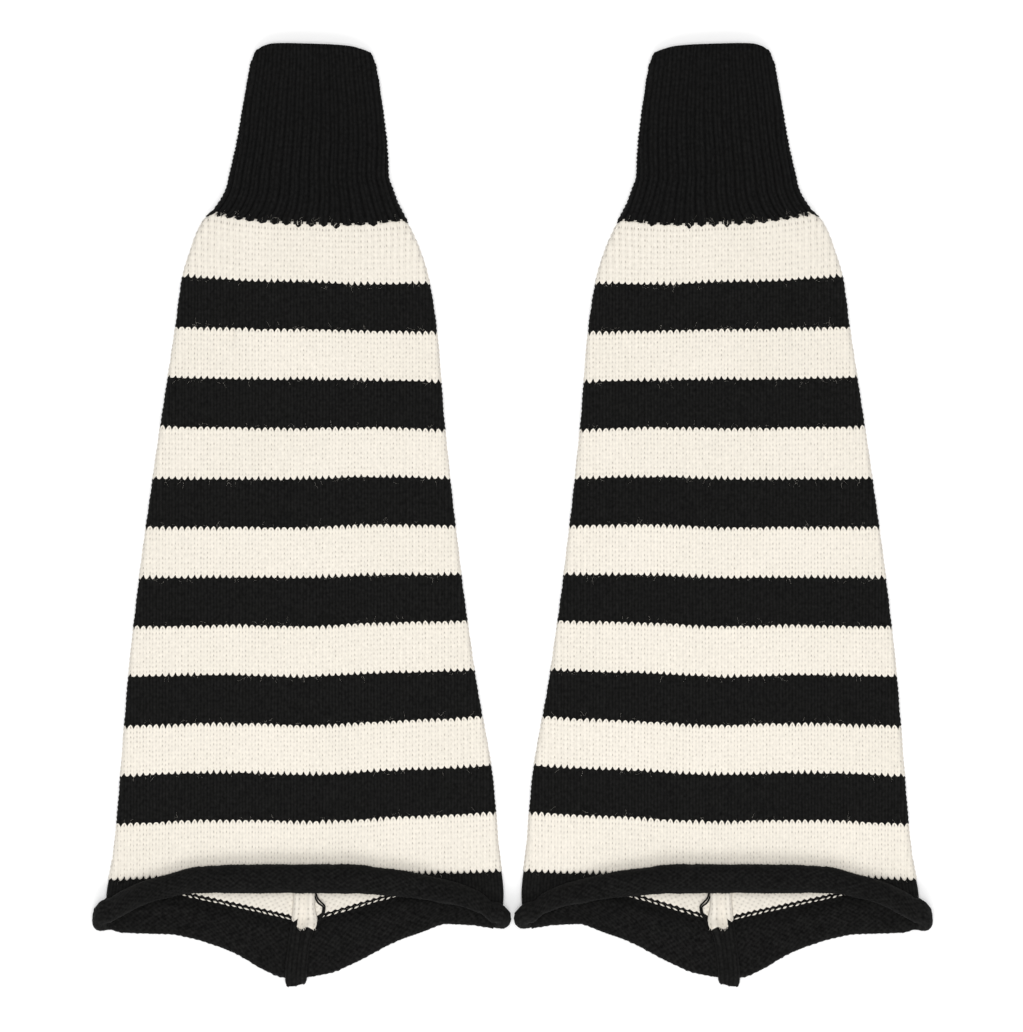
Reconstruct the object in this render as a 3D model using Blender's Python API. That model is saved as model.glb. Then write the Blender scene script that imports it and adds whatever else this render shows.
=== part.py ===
"""A pair of flared, striped, knitted leg warmers, laid flat side by side on a table.

Metres, +Z up, cuffs towards +Y. Each leg warmer is a ribbed cuff, a striped body knitted as one
shaped panel and closed down the centre back, a hem band whose free edge curls outwards as plain
knitting does, and the seam allowance inside the back. The right one mirrors the left one.
"""

import math
from collections import namedtuple

import bmesh
import bpy

MM = 0.001

# The cloth, and how the two layers of the flat tube lie on each other
WALL = 2.4 * MM
HALF_WALL = WALL / 2
SEAM_GAP = 0.3 * MM
FOLD_RADIUS = 1.5 * MM
CROWN = 3.2 * MM
CROWN_POWER = 3
SEAM_ACROSS = 0.51  # part of the way from the left fold to the right one

# The two pieces lie side by side, each about this far from the middle, and are moved along
# themselves by this much to have the origin in the middle of their box
LEG_CENTRE = 101.0 * MM
ALONG_SHIFT = 0.6 * MM

# Outer edges of the left piece, in mm: how far along it, then its left and right edge there
Edge = namedtuple("Edge", "along left right")
OUTLINE = (
    Edge(236, -129.1, -70.6),
    Edge(227, -130.4, -68.8),
    Edge(207, -134.3, -65.3),
    Edge(187, -137.4, -63.0),
    Edge(169, -141.5, -61.7),
    Edge(162, -143.2, -59.7),
    Edge(152, -149.0, -55.7),
    Edge(147, -154.3, -52.9),
    Edge(139, -158.4, -49.2),
    Edge(132, -160.9, -46.2),
    Edge(117, -165.3, -41.6),
    Edge(92, -168.7, -37.7),
    Edge(42, -176.3, -33.5),
    Edge(-33, -186.7, -25.1),
    Edge(-83, -192.2, -18.1),
    Edge(-133, -196.2, -9.6),
    Edge(-168, -199.3, -6.6),
    Edge(-190, -203.0, -4.0),
    Edge(-197, -203.3, -4.4),
    Edge(-203, -203.2, -7.6),
    Edge(-236, -203.2, -7.6),
)

# Knitted courses of the left piece, in mm: at the left fold, the middle of the front and the
# right fold. Between two of them lies one stripe, or the cuff.
Course = namedtuple("Course", "name left front right")
COURSES = (
    Course("cuff_end", 150.0, 144.9, 146.3),
    Course("gathered", 137.6, 133.4, 133.8),
    Course("stripe_1", 118.2, 115.3, 114.6),
    Course("stripe_1_end", 93.3, 91.9, 90.7),
    Course("stripe_2", 67.7, 66.8, 65.5),
    Course("stripe_2_end", 43.7, 42.5, 42.1),
    Course("stripe_3", 17.2, 17.0, 17.3),
    Course("stripe_3_end", -6.6, -6.9, -6.0),
    Course("stripe_4", -32.5, -32.2, -30.5),
    Course("stripe_4_end", -56.4, -56.3, -53.4),
    Course("stripe_5", -81.4, -81.5, -78.3),
    Course("stripe_5_end", -106.0, -105.5, -101.3),
    Course("stripe_6", -131.1, -130.3, -125.9),
    Course("stripe_6_end", -154.7, -153.5, -149.1),
    Course("hem_start", -182.9, -181.8, -178.6),
)
# Halfway from the front's middle to a fold a course bows up, in mm: how much near the cuff and
# near the hem, and the stretch of the front over which that changes
Bow = namedtuple("Bow", "at_cuff at_hem upper lower")
LEFT_BOW = Bow(0.0, 1.1, 10.0, -110.0)
RIGHT_BOW = Bow(-1.1, 1.1, 125.0, 5.0)
BOW_POWER = 1.5
# The panel is wider at the hem, so its courses meet in a V at the back seam, deepest at the hem,
# and the V's right arm bows up
BACK_DIP = 22.7 * MM
BACK_BOW = 1.5 * MM

# Cuff: its top edge slopes to the right, in mm along, and drops at both corners and round each
# fold, later the higher the power. The ribs stand up from a plain inside
Corner = namedtuple("Corner", "drop power")
CUFF_TOP_LEFT = 235.0
CUFF_TOP_RIGHT = 233.5
CUFF_LEFT_CORNER = Corner(3.2, 15)
CUFF_RIGHT_CORNER = Corner(3.15, 10)
CUFF_FOLD_CORNER = Corner(5.2, 2.5)
CUFF_ROWS = (0.0, 0.06, 0.2, 0.4, 0.62, 0.82, 0.93, 1.0)
CUFF_RIBS_FRONT = 16
RIB_VALLEY = 0.4 * MM
RIB_CREST = 1.4 * MM
RIB_PROFILE = ((0.0, RIB_VALLEY), (0.3, RIB_CREST), (0.7, RIB_CREST))

# Soft gathers below the cuff, in mm: across, from, to, depth and half width
Gather = namedtuple("Gather", "across upper lower depth reach")
GATHERS = (
    Gather(-142.8, 136.0, 88.0, 0.9, 6.0),
    Gather(-123.8, 144.0, 114.0, 0.8, 5.0),
    Gather(-85.2, 144.0, 116.0, 0.8, 5.0),
)

# Mouth of the left piece, in mm, at a part of the way from its left fold to its right one: the
# lowest and highest line of the curl on the front, its thickness, and the back's lower rim
Mouth = namedtuple("Mouth", "across lip top thick rim")
MOUTH = (
    Mouth(0.00, -203.6, -191.6, 8.8, -208.0),
    Mouth(0.03, -200.3, -187.9, 10.6, -209.4),
    Mouth(0.09, -194.4, -182.9, 10.8, -209.8),
    Mouth(0.15, -191.0, -179.5, 11.2, -210.0),
    Mouth(0.21, -189.1, -176.6, 12.3, -212.1),
    Mouth(0.32, -188.6, -174.8, 13.6, -219.1),
    Mouth(0.41, -188.6, -174.6, 13.8, -228.8),
    Mouth(0.45, -188.6, -174.6, 13.8, -231.7),
    Mouth(0.482, -188.6, -174.6, 13.8, -232.3),
    Mouth(0.56, -188.7, -174.7, 13.8, -230.2),
    Mouth(0.64, -188.9, -175.0, 13.6, -224.6),
    Mouth(0.70, -189.6, -176.6, 12.9, -218.6),
    Mouth(0.756, -190.5, -178.0, 12.4, -213.2),
    Mouth(0.818, -192.3, -180.3, 11.6, -209.1),
    Mouth(0.88, -194.3, -183.0, 10.8, -205.2),
    Mouth(0.948, -198.3, -187.8, 9.8, -205.6),
    Mouth(1.00, -203.5, -193.2, 9.5, -207.3),
)
# The back's edge is turned under, so the back layer rises over it by two bends of a fold
LIFT = 2 * FOLD_RADIUS
LIFT_RUN = 8.0 * MM
TURN_UNDER = 14.0 * MM
TURN_UNDER_POWER = 4
CURL_CLEARANCE = 0.8 * MM
LEAST_INNER_TURN = 1.4 * MM
MOST_INNER_TURN = 2.9 * MM
INNER_TURN_ANGLE = math.radians(130)
HEM_POINTS = 16
CURL_STEP = 0.2 * MM
LONGEST_SIDE = 4.0 * MM
SHARPEST_TURN = math.radians(22)

# Seam allowance: two turned-in edges side by side along the inside of the back, in mm across
# the seam and above the cloth
SEAM_SECTION = (
    (-5.5, 0.0),
    (-5.5, 1.6),
    (-4.4, 2.7),
    (-2.4, 2.9),
    (-0.6, 1.5),
    (0.6, 1.5),
    (2.4, 2.8),
    (4.4, 2.6),
    (5.5, 1.5),
    (5.5, 0.0),
)
SEAM_TOP = 233.0 * MM
SEAM_STEP = 22.0 * MM
# The back courses meet in a V, so the cloth beside the seam starts to rise this much sooner
SEAM_LEAD = 2.7 * MM
SEAM_LIFT_ROWS = 4
# The allowance is pressed over towards the left fold, and below the roll it leans further
SEAM_PRESSED = 2.5 * MM
SEAM_LEAN = 4.0 * MM
SEAM_LEAN_FROM = -190.0 * MM
SEAM_LEAN_RUN = 44.0 * MM
# How the seam's end leaves the rim, in mm: along, how far it drops, and its part of full width
SeamEnd = namedtuple("SeamEnd", "along drop width height")
SEAM_END = (
    SeamEnd(-229.6, 0.0, 1.0, 1.0),
    SeamEnd(-232.4, 1.3, 1.0, 1.05),
    SeamEnd(-234.6, 2.4, 0.92, 0.95),
    SeamEnd(-235.8, 2.8, 0.7, 0.6),
)

# How finely each tube is divided: across the front, round a fold and across the back
Division = namedtuple("Division", "front fold back")
BODY_DIVISION = Division(20, 3, 10)
HEM_DIVISION = Division(16, 6, 14)
CUFF_DIVISION = Division(CUFF_RIBS_FRONT, 3, 8)

# A place round the flat tube: how far across it lies, and which way its outside faces
Station = namedtuple("Station", "across angle")
UP = math.pi / 2

Finish = namedtuple("Finish", "colour roughness metallic")
BLACK_RIB = Finish((0.0080, 0.0080, 0.0078), 0.92, 0.0)
STRIPED_KNIT = Finish((0.880, 0.815, 0.705), 0.90, 0.0)
BLACK_HEM = Finish((0.0100, 0.0098, 0.0090), 0.92, 0.0)
SEAM_YARN = Finish((0.840, 0.770, 0.660), 0.90, 0.0)


def mix(first, last, part):
    return first + (last - first) * part


def smooth_step(part):
    part = min(1.0, max(0.0, part))
    return part * part * (3 - 2 * part)


def smooth_lookup(keys, values, key):
    """A curve through the values that doesn't overshoot them. The keys rise."""
    if key <= keys[0]:
        return values[0]
    if key >= keys[-1]:
        return values[-1]
    slopes = [(b - a) / (q - p) for a, b, p, q in zip(values, values[1:], keys, keys[1:])]
    tangents = [slopes[0]]
    for before, after in zip(slopes, slopes[1:]):
        same_way = before * after > 0
        tangents.append(2 * before * after / (before + after) if same_way else 0.0)
    tangents.append(slopes[-1])
    i = max(k for k in range(len(keys) - 1) if keys[k] <= key)
    span = keys[i + 1] - keys[i]
    t = (key - keys[i]) / span
    rise = values[i + 1] - values[i]
    bend_in = tangents[i] * span
    bend_out = tangents[i + 1] * span
    return values[i] + t * bend_in + t * t * (3 * rise - 2 * bend_in - bend_out) + t**3 * (
        bend_in + bend_out - 2 * rise
    )


def edges_at(y):
    """The left and right outer edge of the left piece, at y along it."""
    rows = OUTLINE[::-1]
    keys = [row.along * MM for row in rows]
    left = smooth_lookup(keys, [row.left * MM for row in rows], y)
    right = smooth_lookup(keys, [row.right * MM for row in rows], y)
    return left, right


def mouth_at(across):
    """The mouth's measures at a part of the way across, in metres."""
    keys = [row.across for row in MOUTH]

    def column(name):
        return smooth_lookup(keys, [getattr(row, name) * MM for row in MOUTH], across)

    return Mouth(across, column("lip"), column("top"), column("thick"), column("rim"))


def stations(division):
    """Places round the flat tube: front left to right, right fold, back, left fold."""
    front = [Station(i / division.front, UP) for i in range(division.front)]
    half = division.back // 2
    back = [Station(mix(1.0, SEAM_ACROSS, i / half), -UP) for i in range(half)]
    back += [Station(mix(SEAM_ACROSS, 0.0, i / half), -UP) for i in range(half)]
    turn = math.pi / division.fold
    right_fold = [Station(1.0, UP - i * turn) for i in range(division.fold)]
    left_fold = [Station(0.0, 3 * UP - i * turn) for i in range(division.fold)]
    return front + right_fold + back + left_fold


def front_course(course, across):
    """How far along the front a course lies, in metres."""
    side, bow = (course.left, LEFT_BOW) if across < 0.5 else (course.right, RIGHT_BOW)
    outwards = abs(2 * across - 1)
    down = smooth_step((bow.upper - course.front) / (bow.upper - bow.lower))
    bowed = max(0.0, math.sin(math.pi * outwards)) ** BOW_POWER
    straight = mix(course.front, side, outwards**2)
    return (straight + mix(bow.at_cuff, bow.at_hem, down) * bowed) * MM


def back_course(course, dip, across):
    """How far along the back a course lies, in metres: a V whose point is on the seam."""
    point = (course.left + course.right) / 2 * MM - dip
    if across < SEAM_ACROSS:
        return mix(course.left * MM, point, across / SEAM_ACROSS)
    inwards = (1 - across) / (1 - SEAM_ACROSS)
    bowed = BACK_BOW * dip / BACK_DIP * math.sin(math.pi * inwards)
    return mix(course.right * MM, point, inwards) + bowed


def course_along(course, dip, station):
    if math.sin(station.angle) > 0:
        return front_course(course, station.across)
    return back_course(course, dip, station.across)


def back_lift(across, y):
    """How far the cloth is raised by the edge turned under it."""
    start = back_course(COURSES[-1], BACK_DIP, across)
    return LIFT * smooth_step((start - y) / LIFT_RUN)


def gather_depth(x, y):
    depth = 0.0
    for gather in GATHERS:
        beside = (x / MM - gather.across) / gather.reach
        middle = (gather.upper + gather.lower) / 2
        beyond = (y / MM - middle) / ((gather.upper - gather.lower) / 2)
        depth += gather.depth * MM * math.exp(-beside * beside) * math.exp(-(beyond**4))
    return depth


def place(station, y, out, edge_y=None):
    """The point at y and a distance out from the middle of the wall, on the left piece. Cloth
    that has curled back on itself keeps to the side edges at edge_y, where it turned."""
    left, right = edges_at(y if edge_y is None else edge_y)
    fold = FOLD_RADIUS + HALF_WALL
    x = mix(left + fold, right - fold, station.across)
    facing_up = max(0.0, math.sin(station.angle))
    crown = 1 - abs(2 * station.across - 1) ** CROWN_POWER
    z = HALF_WALL + FOLD_RADIUS + (FOLD_RADIUS + out) * math.sin(station.angle)
    z += facing_up * (CROWN * crown - gather_depth(x, y)) + back_lift(station.across, y)
    return x + (FOLD_RADIUS + out) * math.cos(station.angle), y, max(0.0, z)


def walled_tube(outer, inner, starts):
    """Points and faces of a wall between two sets of rings. starts gives, for each point of an
    inner ring, the point of the outer ring that it belongs to."""
    points = [point for ring in outer + inner for point in ring]
    wide = len(outer[0])
    slim = len(inner[0])
    inner_from = wide * len(outer)
    faces = []
    for row in range(len(outer) - 1):
        for k in range(wide):
            a = row * wide + k
            b = row * wide + (k + 1) % wide
            faces.append((a, b, b + wide, a + wide))
    for row in range(len(inner) - 1):
        for k in range(slim):
            a = inner_from + row * slim + k
            b = inner_from + row * slim + (k + 1) % slim
            faces.append((b, a, a + slim, b + slim))
    for row, outwards in ((0, False), (len(outer) - 1, True)):
        for k in range(slim):
            last = starts[k + 1] if k + 1 < slim else wide
            run = [row * wide + j % wide for j in range(starts[k], last + 1)]
            ends = [inner_from + row * slim + (k + 1) % slim, inner_from + row * slim + k]
            face = run + ends
            faces.append(tuple(face if outwards else face[::-1]))
    return points, faces


def cuff_row(down, station):
    """How far along the cuff a row lies, down being the part of the way from top to end."""
    top = mix(CUFF_TOP_LEFT, CUFF_TOP_RIGHT, station.across)
    top -= CUFF_LEFT_CORNER.drop * (1 - station.across) ** CUFF_LEFT_CORNER.power
    top -= CUFF_RIGHT_CORNER.drop * station.across**CUFF_RIGHT_CORNER.power
    top -= CUFF_FOLD_CORNER.drop * abs(math.cos(station.angle)) ** CUFF_FOLD_CORNER.power
    end = course_along(COURSES[0], 0.0, station) + SEAM_GAP
    return mix(top * MM, end, down)


def between(first, last, part):
    """The station a part of the way from one to the next, the short way round."""
    turn = (last.angle - first.angle + math.pi) % (2 * math.pi) - math.pi
    across = mix(first.across, last.across, part)
    return Station(across, first.angle + turn * part)


def cuff():
    ring = stations(CUFF_DIVISION)
    ribbed = CUFF_DIVISION.front + CUFF_DIVISION.fold - 1
    last_plain = CUFF_DIVISION.front + CUFF_DIVISION.fold + CUFF_DIVISION.back
    outer_ring = []
    starts = []
    for k, station in enumerate(ring):
        starts.append(len(outer_ring))
        following = ring[(k + 1) % len(ring)]
        if k < ribbed or k > last_plain:
            for part, out in RIB_PROFILE:
                outer_ring.append((between(station, following, part), out))
        else:
            outer_ring.append((station, HALF_WALL))
    outer = []
    inner = []
    for down in CUFF_ROWS:
        outer.append([place(st, cuff_row(down, st), out) for st, out in outer_ring])
        inner.append([place(st, cuff_row(down, st), -HALF_WALL) for st in ring])
    return walled_tube(outer, inner, starts)


def body():
    ring = stations(BODY_DIVISION)
    outer = []
    inner = []
    length = COURSES[0].front - COURSES[-1].front
    for course in COURSES:
        dip = BACK_DIP * (COURSES[0].front - course.front) / length
        outer.append([place(st, course_along(course, dip, st), HALF_WALL) for st in ring])
        inner.append([place(st, course_along(course, dip, st), -HALF_WALL) for st in ring])
    return walled_tube(outer, inner, list(range(len(ring))))


def drawn_in(station, start, low):
    """How far the mouth draws the fold in between two places along it, towards this station."""
    before = edges_at(start)
    after = edges_at(low)
    change = after[0] - before[0] if station.across < 0.5 else before[1] - after[1]
    return max(0.0, change) * abs(math.cos(station.angle))


def curl_pieces(station, start):
    """The hem's section at a station, as lengths and turns, for a band that starts at start. It
    runs straight, bends back on its outside, runs flat, turns in and winds on inside the curl."""
    mouth = mouth_at(station.across)
    facing = math.sin(station.angle)
    low = mix(mouth.lip, mouth.rim, smooth_step(1 - facing))
    radius = mouth.thick / 2 - HALF_WALL
    fold = FOLD_RADIUS + HALF_WALL
    below = max(0.0, -facing)
    if below > 0:
        radius = min(radius, ((fold + LIFT) / below - fold) / 2)
    straight = max(0.0, start - low - radius - HALF_WALL)
    front_flat = max(0.0, mouth.top - mouth.lip - mouth.thick)
    back_flat = min(TURN_UNDER, straight - LIFT_RUN)
    needed = WALL + SEAM_GAP + drawn_in(station, start, low)
    turn_in = math.acos(min(1.0, max(0.0, needed / radius - 1)))
    turn_in *= min(1.0, max(0.0, (radius - FOLD_RADIUS) / MM))
    inward = max(LEAST_INNER_TURN, radius - WALL - CURL_CLEARANCE)
    wound = min(1.0, (inward - LEAST_INNER_TURN) / (MOST_INNER_TURN - LEAST_INNER_TURN))
    return (
        (straight, 0.0),
        (radius * math.pi, math.pi),
        (mix(front_flat, back_flat, below**TURN_UNDER_POWER), 0.0),
        (radius * turn_in, turn_in),
        (inward * wound * INNER_TURN_ANGLE, wound * INNER_TURN_ANGLE),
    )


def curl_path(pieces):
    """Points along the pieces as down, out and heading, closer together where they bend."""
    down = out = heading = weight = 0.0
    trail = [(0.0, down, out, heading)]
    for length, turn in pieces:
        count = math.ceil(length / CURL_STEP)
        for _ in range(count):
            heading += turn / count / 2
            down += math.cos(heading) * length / count
            out += math.sin(heading) * length / count
            heading += turn / count / 2
            weight += length / count / LONGEST_SIDE + turn / count / SHARPEST_TURN
            trail.append((weight, down, out, heading))
    wanted = [weight * k / HEM_POINTS for k in range(HEM_POINTS + 1)]
    return [min(trail, key=lambda spot: abs(spot[0] - mark))[1:] for mark in wanted]


def hem():
    ring = stations(HEM_DIVISION)
    outer = [[] for _ in range(HEM_POINTS + 1)]
    inner = [[] for _ in range(HEM_POINTS + 1)]
    for station in ring:
        start = course_along(COURSES[-1], BACK_DIP, station) - SEAM_GAP
        section = curl_path(curl_pieces(station, start))
        lowest = start
        for k, (down, out, heading) in enumerate(section):
            across_wall = HALF_WALL * math.cos(heading)
            along_wall = HALF_WALL * math.sin(heading)
            y = start - down
            lowest = min(lowest, y)
            outer[k].append(place(station, y + along_wall, out + across_wall, lowest))
            inner[k].append(place(station, y - along_wall, out - across_wall, lowest))
    return walled_tube(outer, inner, list(range(len(ring))))


def seam_rows():
    """The seam's rows: evenly down to the hem, then close together where the hem lifts it."""
    hem_start = back_course(COURSES[-1], BACK_DIP, SEAM_ACROSS) + SEAM_LEAD
    count = math.ceil((SEAM_TOP - hem_start) / SEAM_STEP)
    along = [mix(SEAM_TOP, hem_start, k / count) for k in range(count)]
    along += [hem_start - LIFT_RUN * k / SEAM_LIFT_ROWS for k in range(SEAM_LIFT_ROWS + 1)]
    return [SeamEnd(y / MM, 0, 1, 1) for y in along] + list(SEAM_END)


def seam():
    """The seam allowance: one closed ring of points per row, with a face at each end."""
    on_seam = Station(SEAM_ACROSS, -UP)
    rows = seam_rows()
    points = []
    for row in rows:
        y = row.along * MM
        leaning = smooth_step((SEAM_LEAN_FROM - y) / SEAM_LEAN_RUN)
        x = place(on_seam, y, 0.0, max(y, SEAM_LEAN_FROM))[0] - SEAM_PRESSED - SEAM_LEAN * leaning
        foot = WALL + SEAM_GAP + back_lift(SEAM_ACROSS, y - SEAM_LEAD) - row.drop * MM
        for side, height in SEAM_SECTION:
            points.append((x + side * row.width * MM, y, foot + height * row.height * MM))
    size = len(SEAM_SECTION)
    faces = [tuple(range(size))]
    for row in range(len(rows) - 1):
        for k in range(size):
            a = row * size + k
            b = row * size + (k + 1) % size
            faces.append((b, a, a + size, b + size))
    faces.append(tuple(range(len(points) - 1, len(points) - size - 1, -1)))
    return points, faces


def material(name, finish):
    made = bpy.data.materials.new(name)
    made.use_nodes = True
    shader = made.node_tree.nodes["Principled BSDF"]
    shader.inputs["Base Color"].default_value = (*finish.colour, 1.0)
    shader.inputs["Roughness"].default_value = finish.roughness
    shader.inputs["Metallic"].default_value = finish.metallic
    made.diffuse_color = (*finish.colour, 1.0)
    return made


def add_piece(name, shape, finish, parent, mirrored):
    """An object from points and faces of the left piece, mirrored for the right one."""
    points, faces = shape
    side = -1 if mirrored else 1
    local = [(side * x - parent.location.x, y, z) for x, y, z in points]
    mesh = bpy.data.meshes.new(name)
    mesh.from_pydata(local, [], [face[::side] for face in faces])
    tidy = bmesh.new()
    tidy.from_mesh(mesh)
    bmesh.ops.recalc_face_normals(tidy, faces=tidy.faces)
    tidy.to_mesh(mesh)
    tidy.free()
    mesh.shade_smooth()
    mesh.set_sharp_from_angle(angle=math.radians(50))
    mesh.materials.append(finish)
    piece = bpy.data.objects.new(name, mesh)
    piece.parent = parent
    bpy.context.scene.collection.objects.link(piece)
    return piece


def leg_warmer(name, mirrored, finishes):
    holder = bpy.data.objects.new(f"{name}_leg_warmer", None)
    holder.location.x = LEG_CENTRE if mirrored else -LEG_CENTRE
    holder.location.y = ALONG_SHIFT
    bpy.context.scene.collection.objects.link(holder)
    for part, shape in (("cuff", cuff), ("body", body), ("hem", hem), ("seam", seam)):
        add_piece(f"{name}_{part}", shape(), finishes[part], holder, mirrored)


def main():
    for old in list(bpy.data.objects):
        bpy.data.objects.remove(old, do_unlink=True)
    finishes = {
        "cuff": material("black_rib", BLACK_RIB),
        "body": material("striped_knit", STRIPED_KNIT),
        "hem": material("black_hem", BLACK_HEM),
        "seam": material("seam_yarn", SEAM_YARN),
    }
    leg_warmer("left", False, finishes)
    leg_warmer("right", True, finishes)


main()
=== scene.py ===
"""The looks of a pair of striped, flared, knitted leg warmers that lie flat: knit stitches, ribs,
the curled hem's purl side, the back seam, a carried yarn and loose fibres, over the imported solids.

Metres, +Z up, cuffs towards +Y. All shapes are worked out for the left leg warmer, and the right
one mirrors it. A column of stitches is a wale, a row of them is a course, counted from the cuff.
"""

import math
from collections import namedtuple

import bpy
import numpy as np
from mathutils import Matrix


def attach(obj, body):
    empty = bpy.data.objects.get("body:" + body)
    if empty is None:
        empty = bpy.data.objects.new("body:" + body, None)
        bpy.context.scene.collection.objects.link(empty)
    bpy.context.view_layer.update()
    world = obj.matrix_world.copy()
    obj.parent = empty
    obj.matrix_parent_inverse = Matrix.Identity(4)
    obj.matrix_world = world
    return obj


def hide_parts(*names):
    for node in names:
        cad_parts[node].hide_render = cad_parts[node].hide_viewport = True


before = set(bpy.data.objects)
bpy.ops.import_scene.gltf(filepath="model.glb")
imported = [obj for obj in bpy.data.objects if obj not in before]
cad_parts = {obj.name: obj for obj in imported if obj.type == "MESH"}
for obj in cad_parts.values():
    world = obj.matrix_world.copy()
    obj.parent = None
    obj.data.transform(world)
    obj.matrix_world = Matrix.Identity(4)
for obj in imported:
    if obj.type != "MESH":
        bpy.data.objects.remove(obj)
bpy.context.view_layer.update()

MM = 0.001
UP = math.pi / 2
FULL_TURN = 2 * math.pi

# The solids' form, in the same sizes as the part
WALL = 2.4 * MM
HALF_WALL = WALL / 2
SEAM_GAP = 0.3 * MM
FOLD_RADIUS = 1.5 * MM
FOLD_INSET = FOLD_RADIUS + HALF_WALL
CROWN = 3.2 * MM
CROWN_POWER = 3
SEAM_ACROSS = 0.51
LEG_CENTRE = 101.0 * MM
ALONG_SHIFT = 0.6 * MM
LIFT = 2 * FOLD_RADIUS
LIFT_RUN = 8.0 * MM
TURN_UNDER = 14.0 * MM
TURN_UNDER_POWER = 4
CURL_CLEARANCE = 0.8 * MM
LEAST_INNER_TURN = 1.4 * MM
MOST_INNER_TURN = 2.9 * MM
INNER_TURN_ANGLE = math.radians(130)
CURL_STEP = 0.2 * MM
BACK_DIP = 22.7 * MM
BACK_BOW = 1.5 * MM

# Outer edges of the left piece, in mm
Edge = namedtuple("Edge", "along left right")
OUTLINE = (
    Edge(-236, -203.2, -7.6),
    Edge(-203, -203.2, -7.6),
    Edge(-197, -203.3, -4.4),
    Edge(-190, -203.0, -4.0),
    Edge(-168, -199.3, -6.6),
    Edge(-133, -196.2, -9.6),
    Edge(-83, -192.2, -18.1),
    Edge(-33, -186.7, -25.1),
    Edge(42, -176.3, -33.5),
    Edge(92, -168.7, -37.7),
    Edge(117, -165.3, -41.6),
    Edge(132, -160.9, -46.2),
    Edge(139, -158.4, -49.2),
    Edge(147, -154.3, -52.9),
    Edge(152, -149.0, -55.7),
    Edge(162, -143.2, -59.7),
    Edge(169, -141.5, -61.7),
    Edge(187, -137.4, -63.0),
    Edge(207, -134.3, -65.3),
    Edge(227, -130.4, -68.8),
    Edge(236, -129.1, -70.6),
)

# The course at each edge of a stripe, and how far along it lies, in mm. White comes first.
Course = namedtuple("Course", "number left front right")
COURSES = (
    Course(0, 150.0, 144.9, 146.3),
    Course(11, 118.2, 115.3, 114.6),
    Course(21, 93.3, 91.9, 90.7),
    Course(31, 67.7, 66.8, 65.5),
    Course(41, 43.7, 42.5, 42.1),
    Course(51, 17.2, 17.0, 17.3),
    Course(61, -6.6, -6.9, -6.0),
    Course(71, -32.5, -32.2, -30.5),
    Course(81, -56.4, -56.3, -53.4),
    Course(91, -81.4, -81.5, -78.3),
    Course(101, -106.0, -105.5, -101.3),
    Course(111, -131.1, -130.3, -125.9),
    Course(121, -154.7, -153.5, -149.1),
    Course(132, -182.9, -181.8, -178.6),
)
BODY_COURSES = COURSES[-1].number
# A black stripe's stitches spread over its edges by this much
BLACK_SPREAD = 0.65 * MM
# How far a course bows up halfway from the front's middle to a fold, in mm
Bow = namedtuple("Bow", "at_cuff at_hem upper lower")
LEFT_BOW = Bow(0.0, 1.1, 10.0, -110.0)
RIGHT_BOW = Bow(-1.1, 1.1, 125.0, 5.0)
BOW_POWER = 1.5

# The cuff's top edge: a slope, and drops at its corners and round its folds, in mm
Corner = namedtuple("Corner", "drop power")
CUFF_TOP_LEFT = 235.0
CUFF_TOP_RIGHT = 233.5
CUFF_LEFT_CORNER = Corner(3.2, 15)
CUFF_RIGHT_CORNER = Corner(3.15, 10)
CUFF_FOLD_CORNER = Corner(5.2, 2.5)

# Soft gathers below the cuff, in mm
Gather = namedtuple("Gather", "across upper lower depth reach")
GATHERS = (
    Gather(-139.8, 117.0, 86.0, 1.5, 1.5),
    Gather(-140.5, 138.0, 66.0, 0.8, 5.0),
    Gather(-123.8, 144.0, 114.0, 0.8, 5.0),
    Gather(-85.2, 144.0, 116.0, 0.8, 5.0),
)

# The mouth: lowest and highest line of the curl, its thickness and the back's rim, in mm
Mouth = namedtuple("Mouth", "across lip top thick rim")
MOUTH = (
    Mouth(0.00, -203.6, -191.6, 8.8, -208.0),
    Mouth(0.03, -200.3, -187.9, 10.6, -209.4),
    Mouth(0.09, -194.4, -182.9, 10.8, -209.8),
    Mouth(0.15, -191.0, -179.5, 11.2, -210.0),
    Mouth(0.21, -189.1, -176.6, 12.3, -212.1),
    Mouth(0.32, -188.6, -174.8, 13.6, -219.1),
    Mouth(0.41, -188.6, -174.6, 13.8, -228.8),
    Mouth(0.45, -188.6, -174.6, 13.8, -231.7),
    Mouth(0.482, -188.6, -174.6, 13.8, -232.3),
    Mouth(0.56, -188.7, -174.7, 13.8, -230.2),
    Mouth(0.64, -188.9, -175.0, 13.6, -224.6),
    Mouth(0.70, -189.6, -176.6, 12.9, -218.6),
    Mouth(0.756, -190.5, -178.0, 12.4, -213.2),
    Mouth(0.818, -192.3, -180.3, 11.6, -209.1),
    Mouth(0.88, -194.3, -183.0, 10.8, -205.2),
    Mouth(0.948, -198.3, -187.8, 9.8, -205.6),
    Mouth(1.00, -203.5, -193.2, 9.5, -207.3),
)

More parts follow.
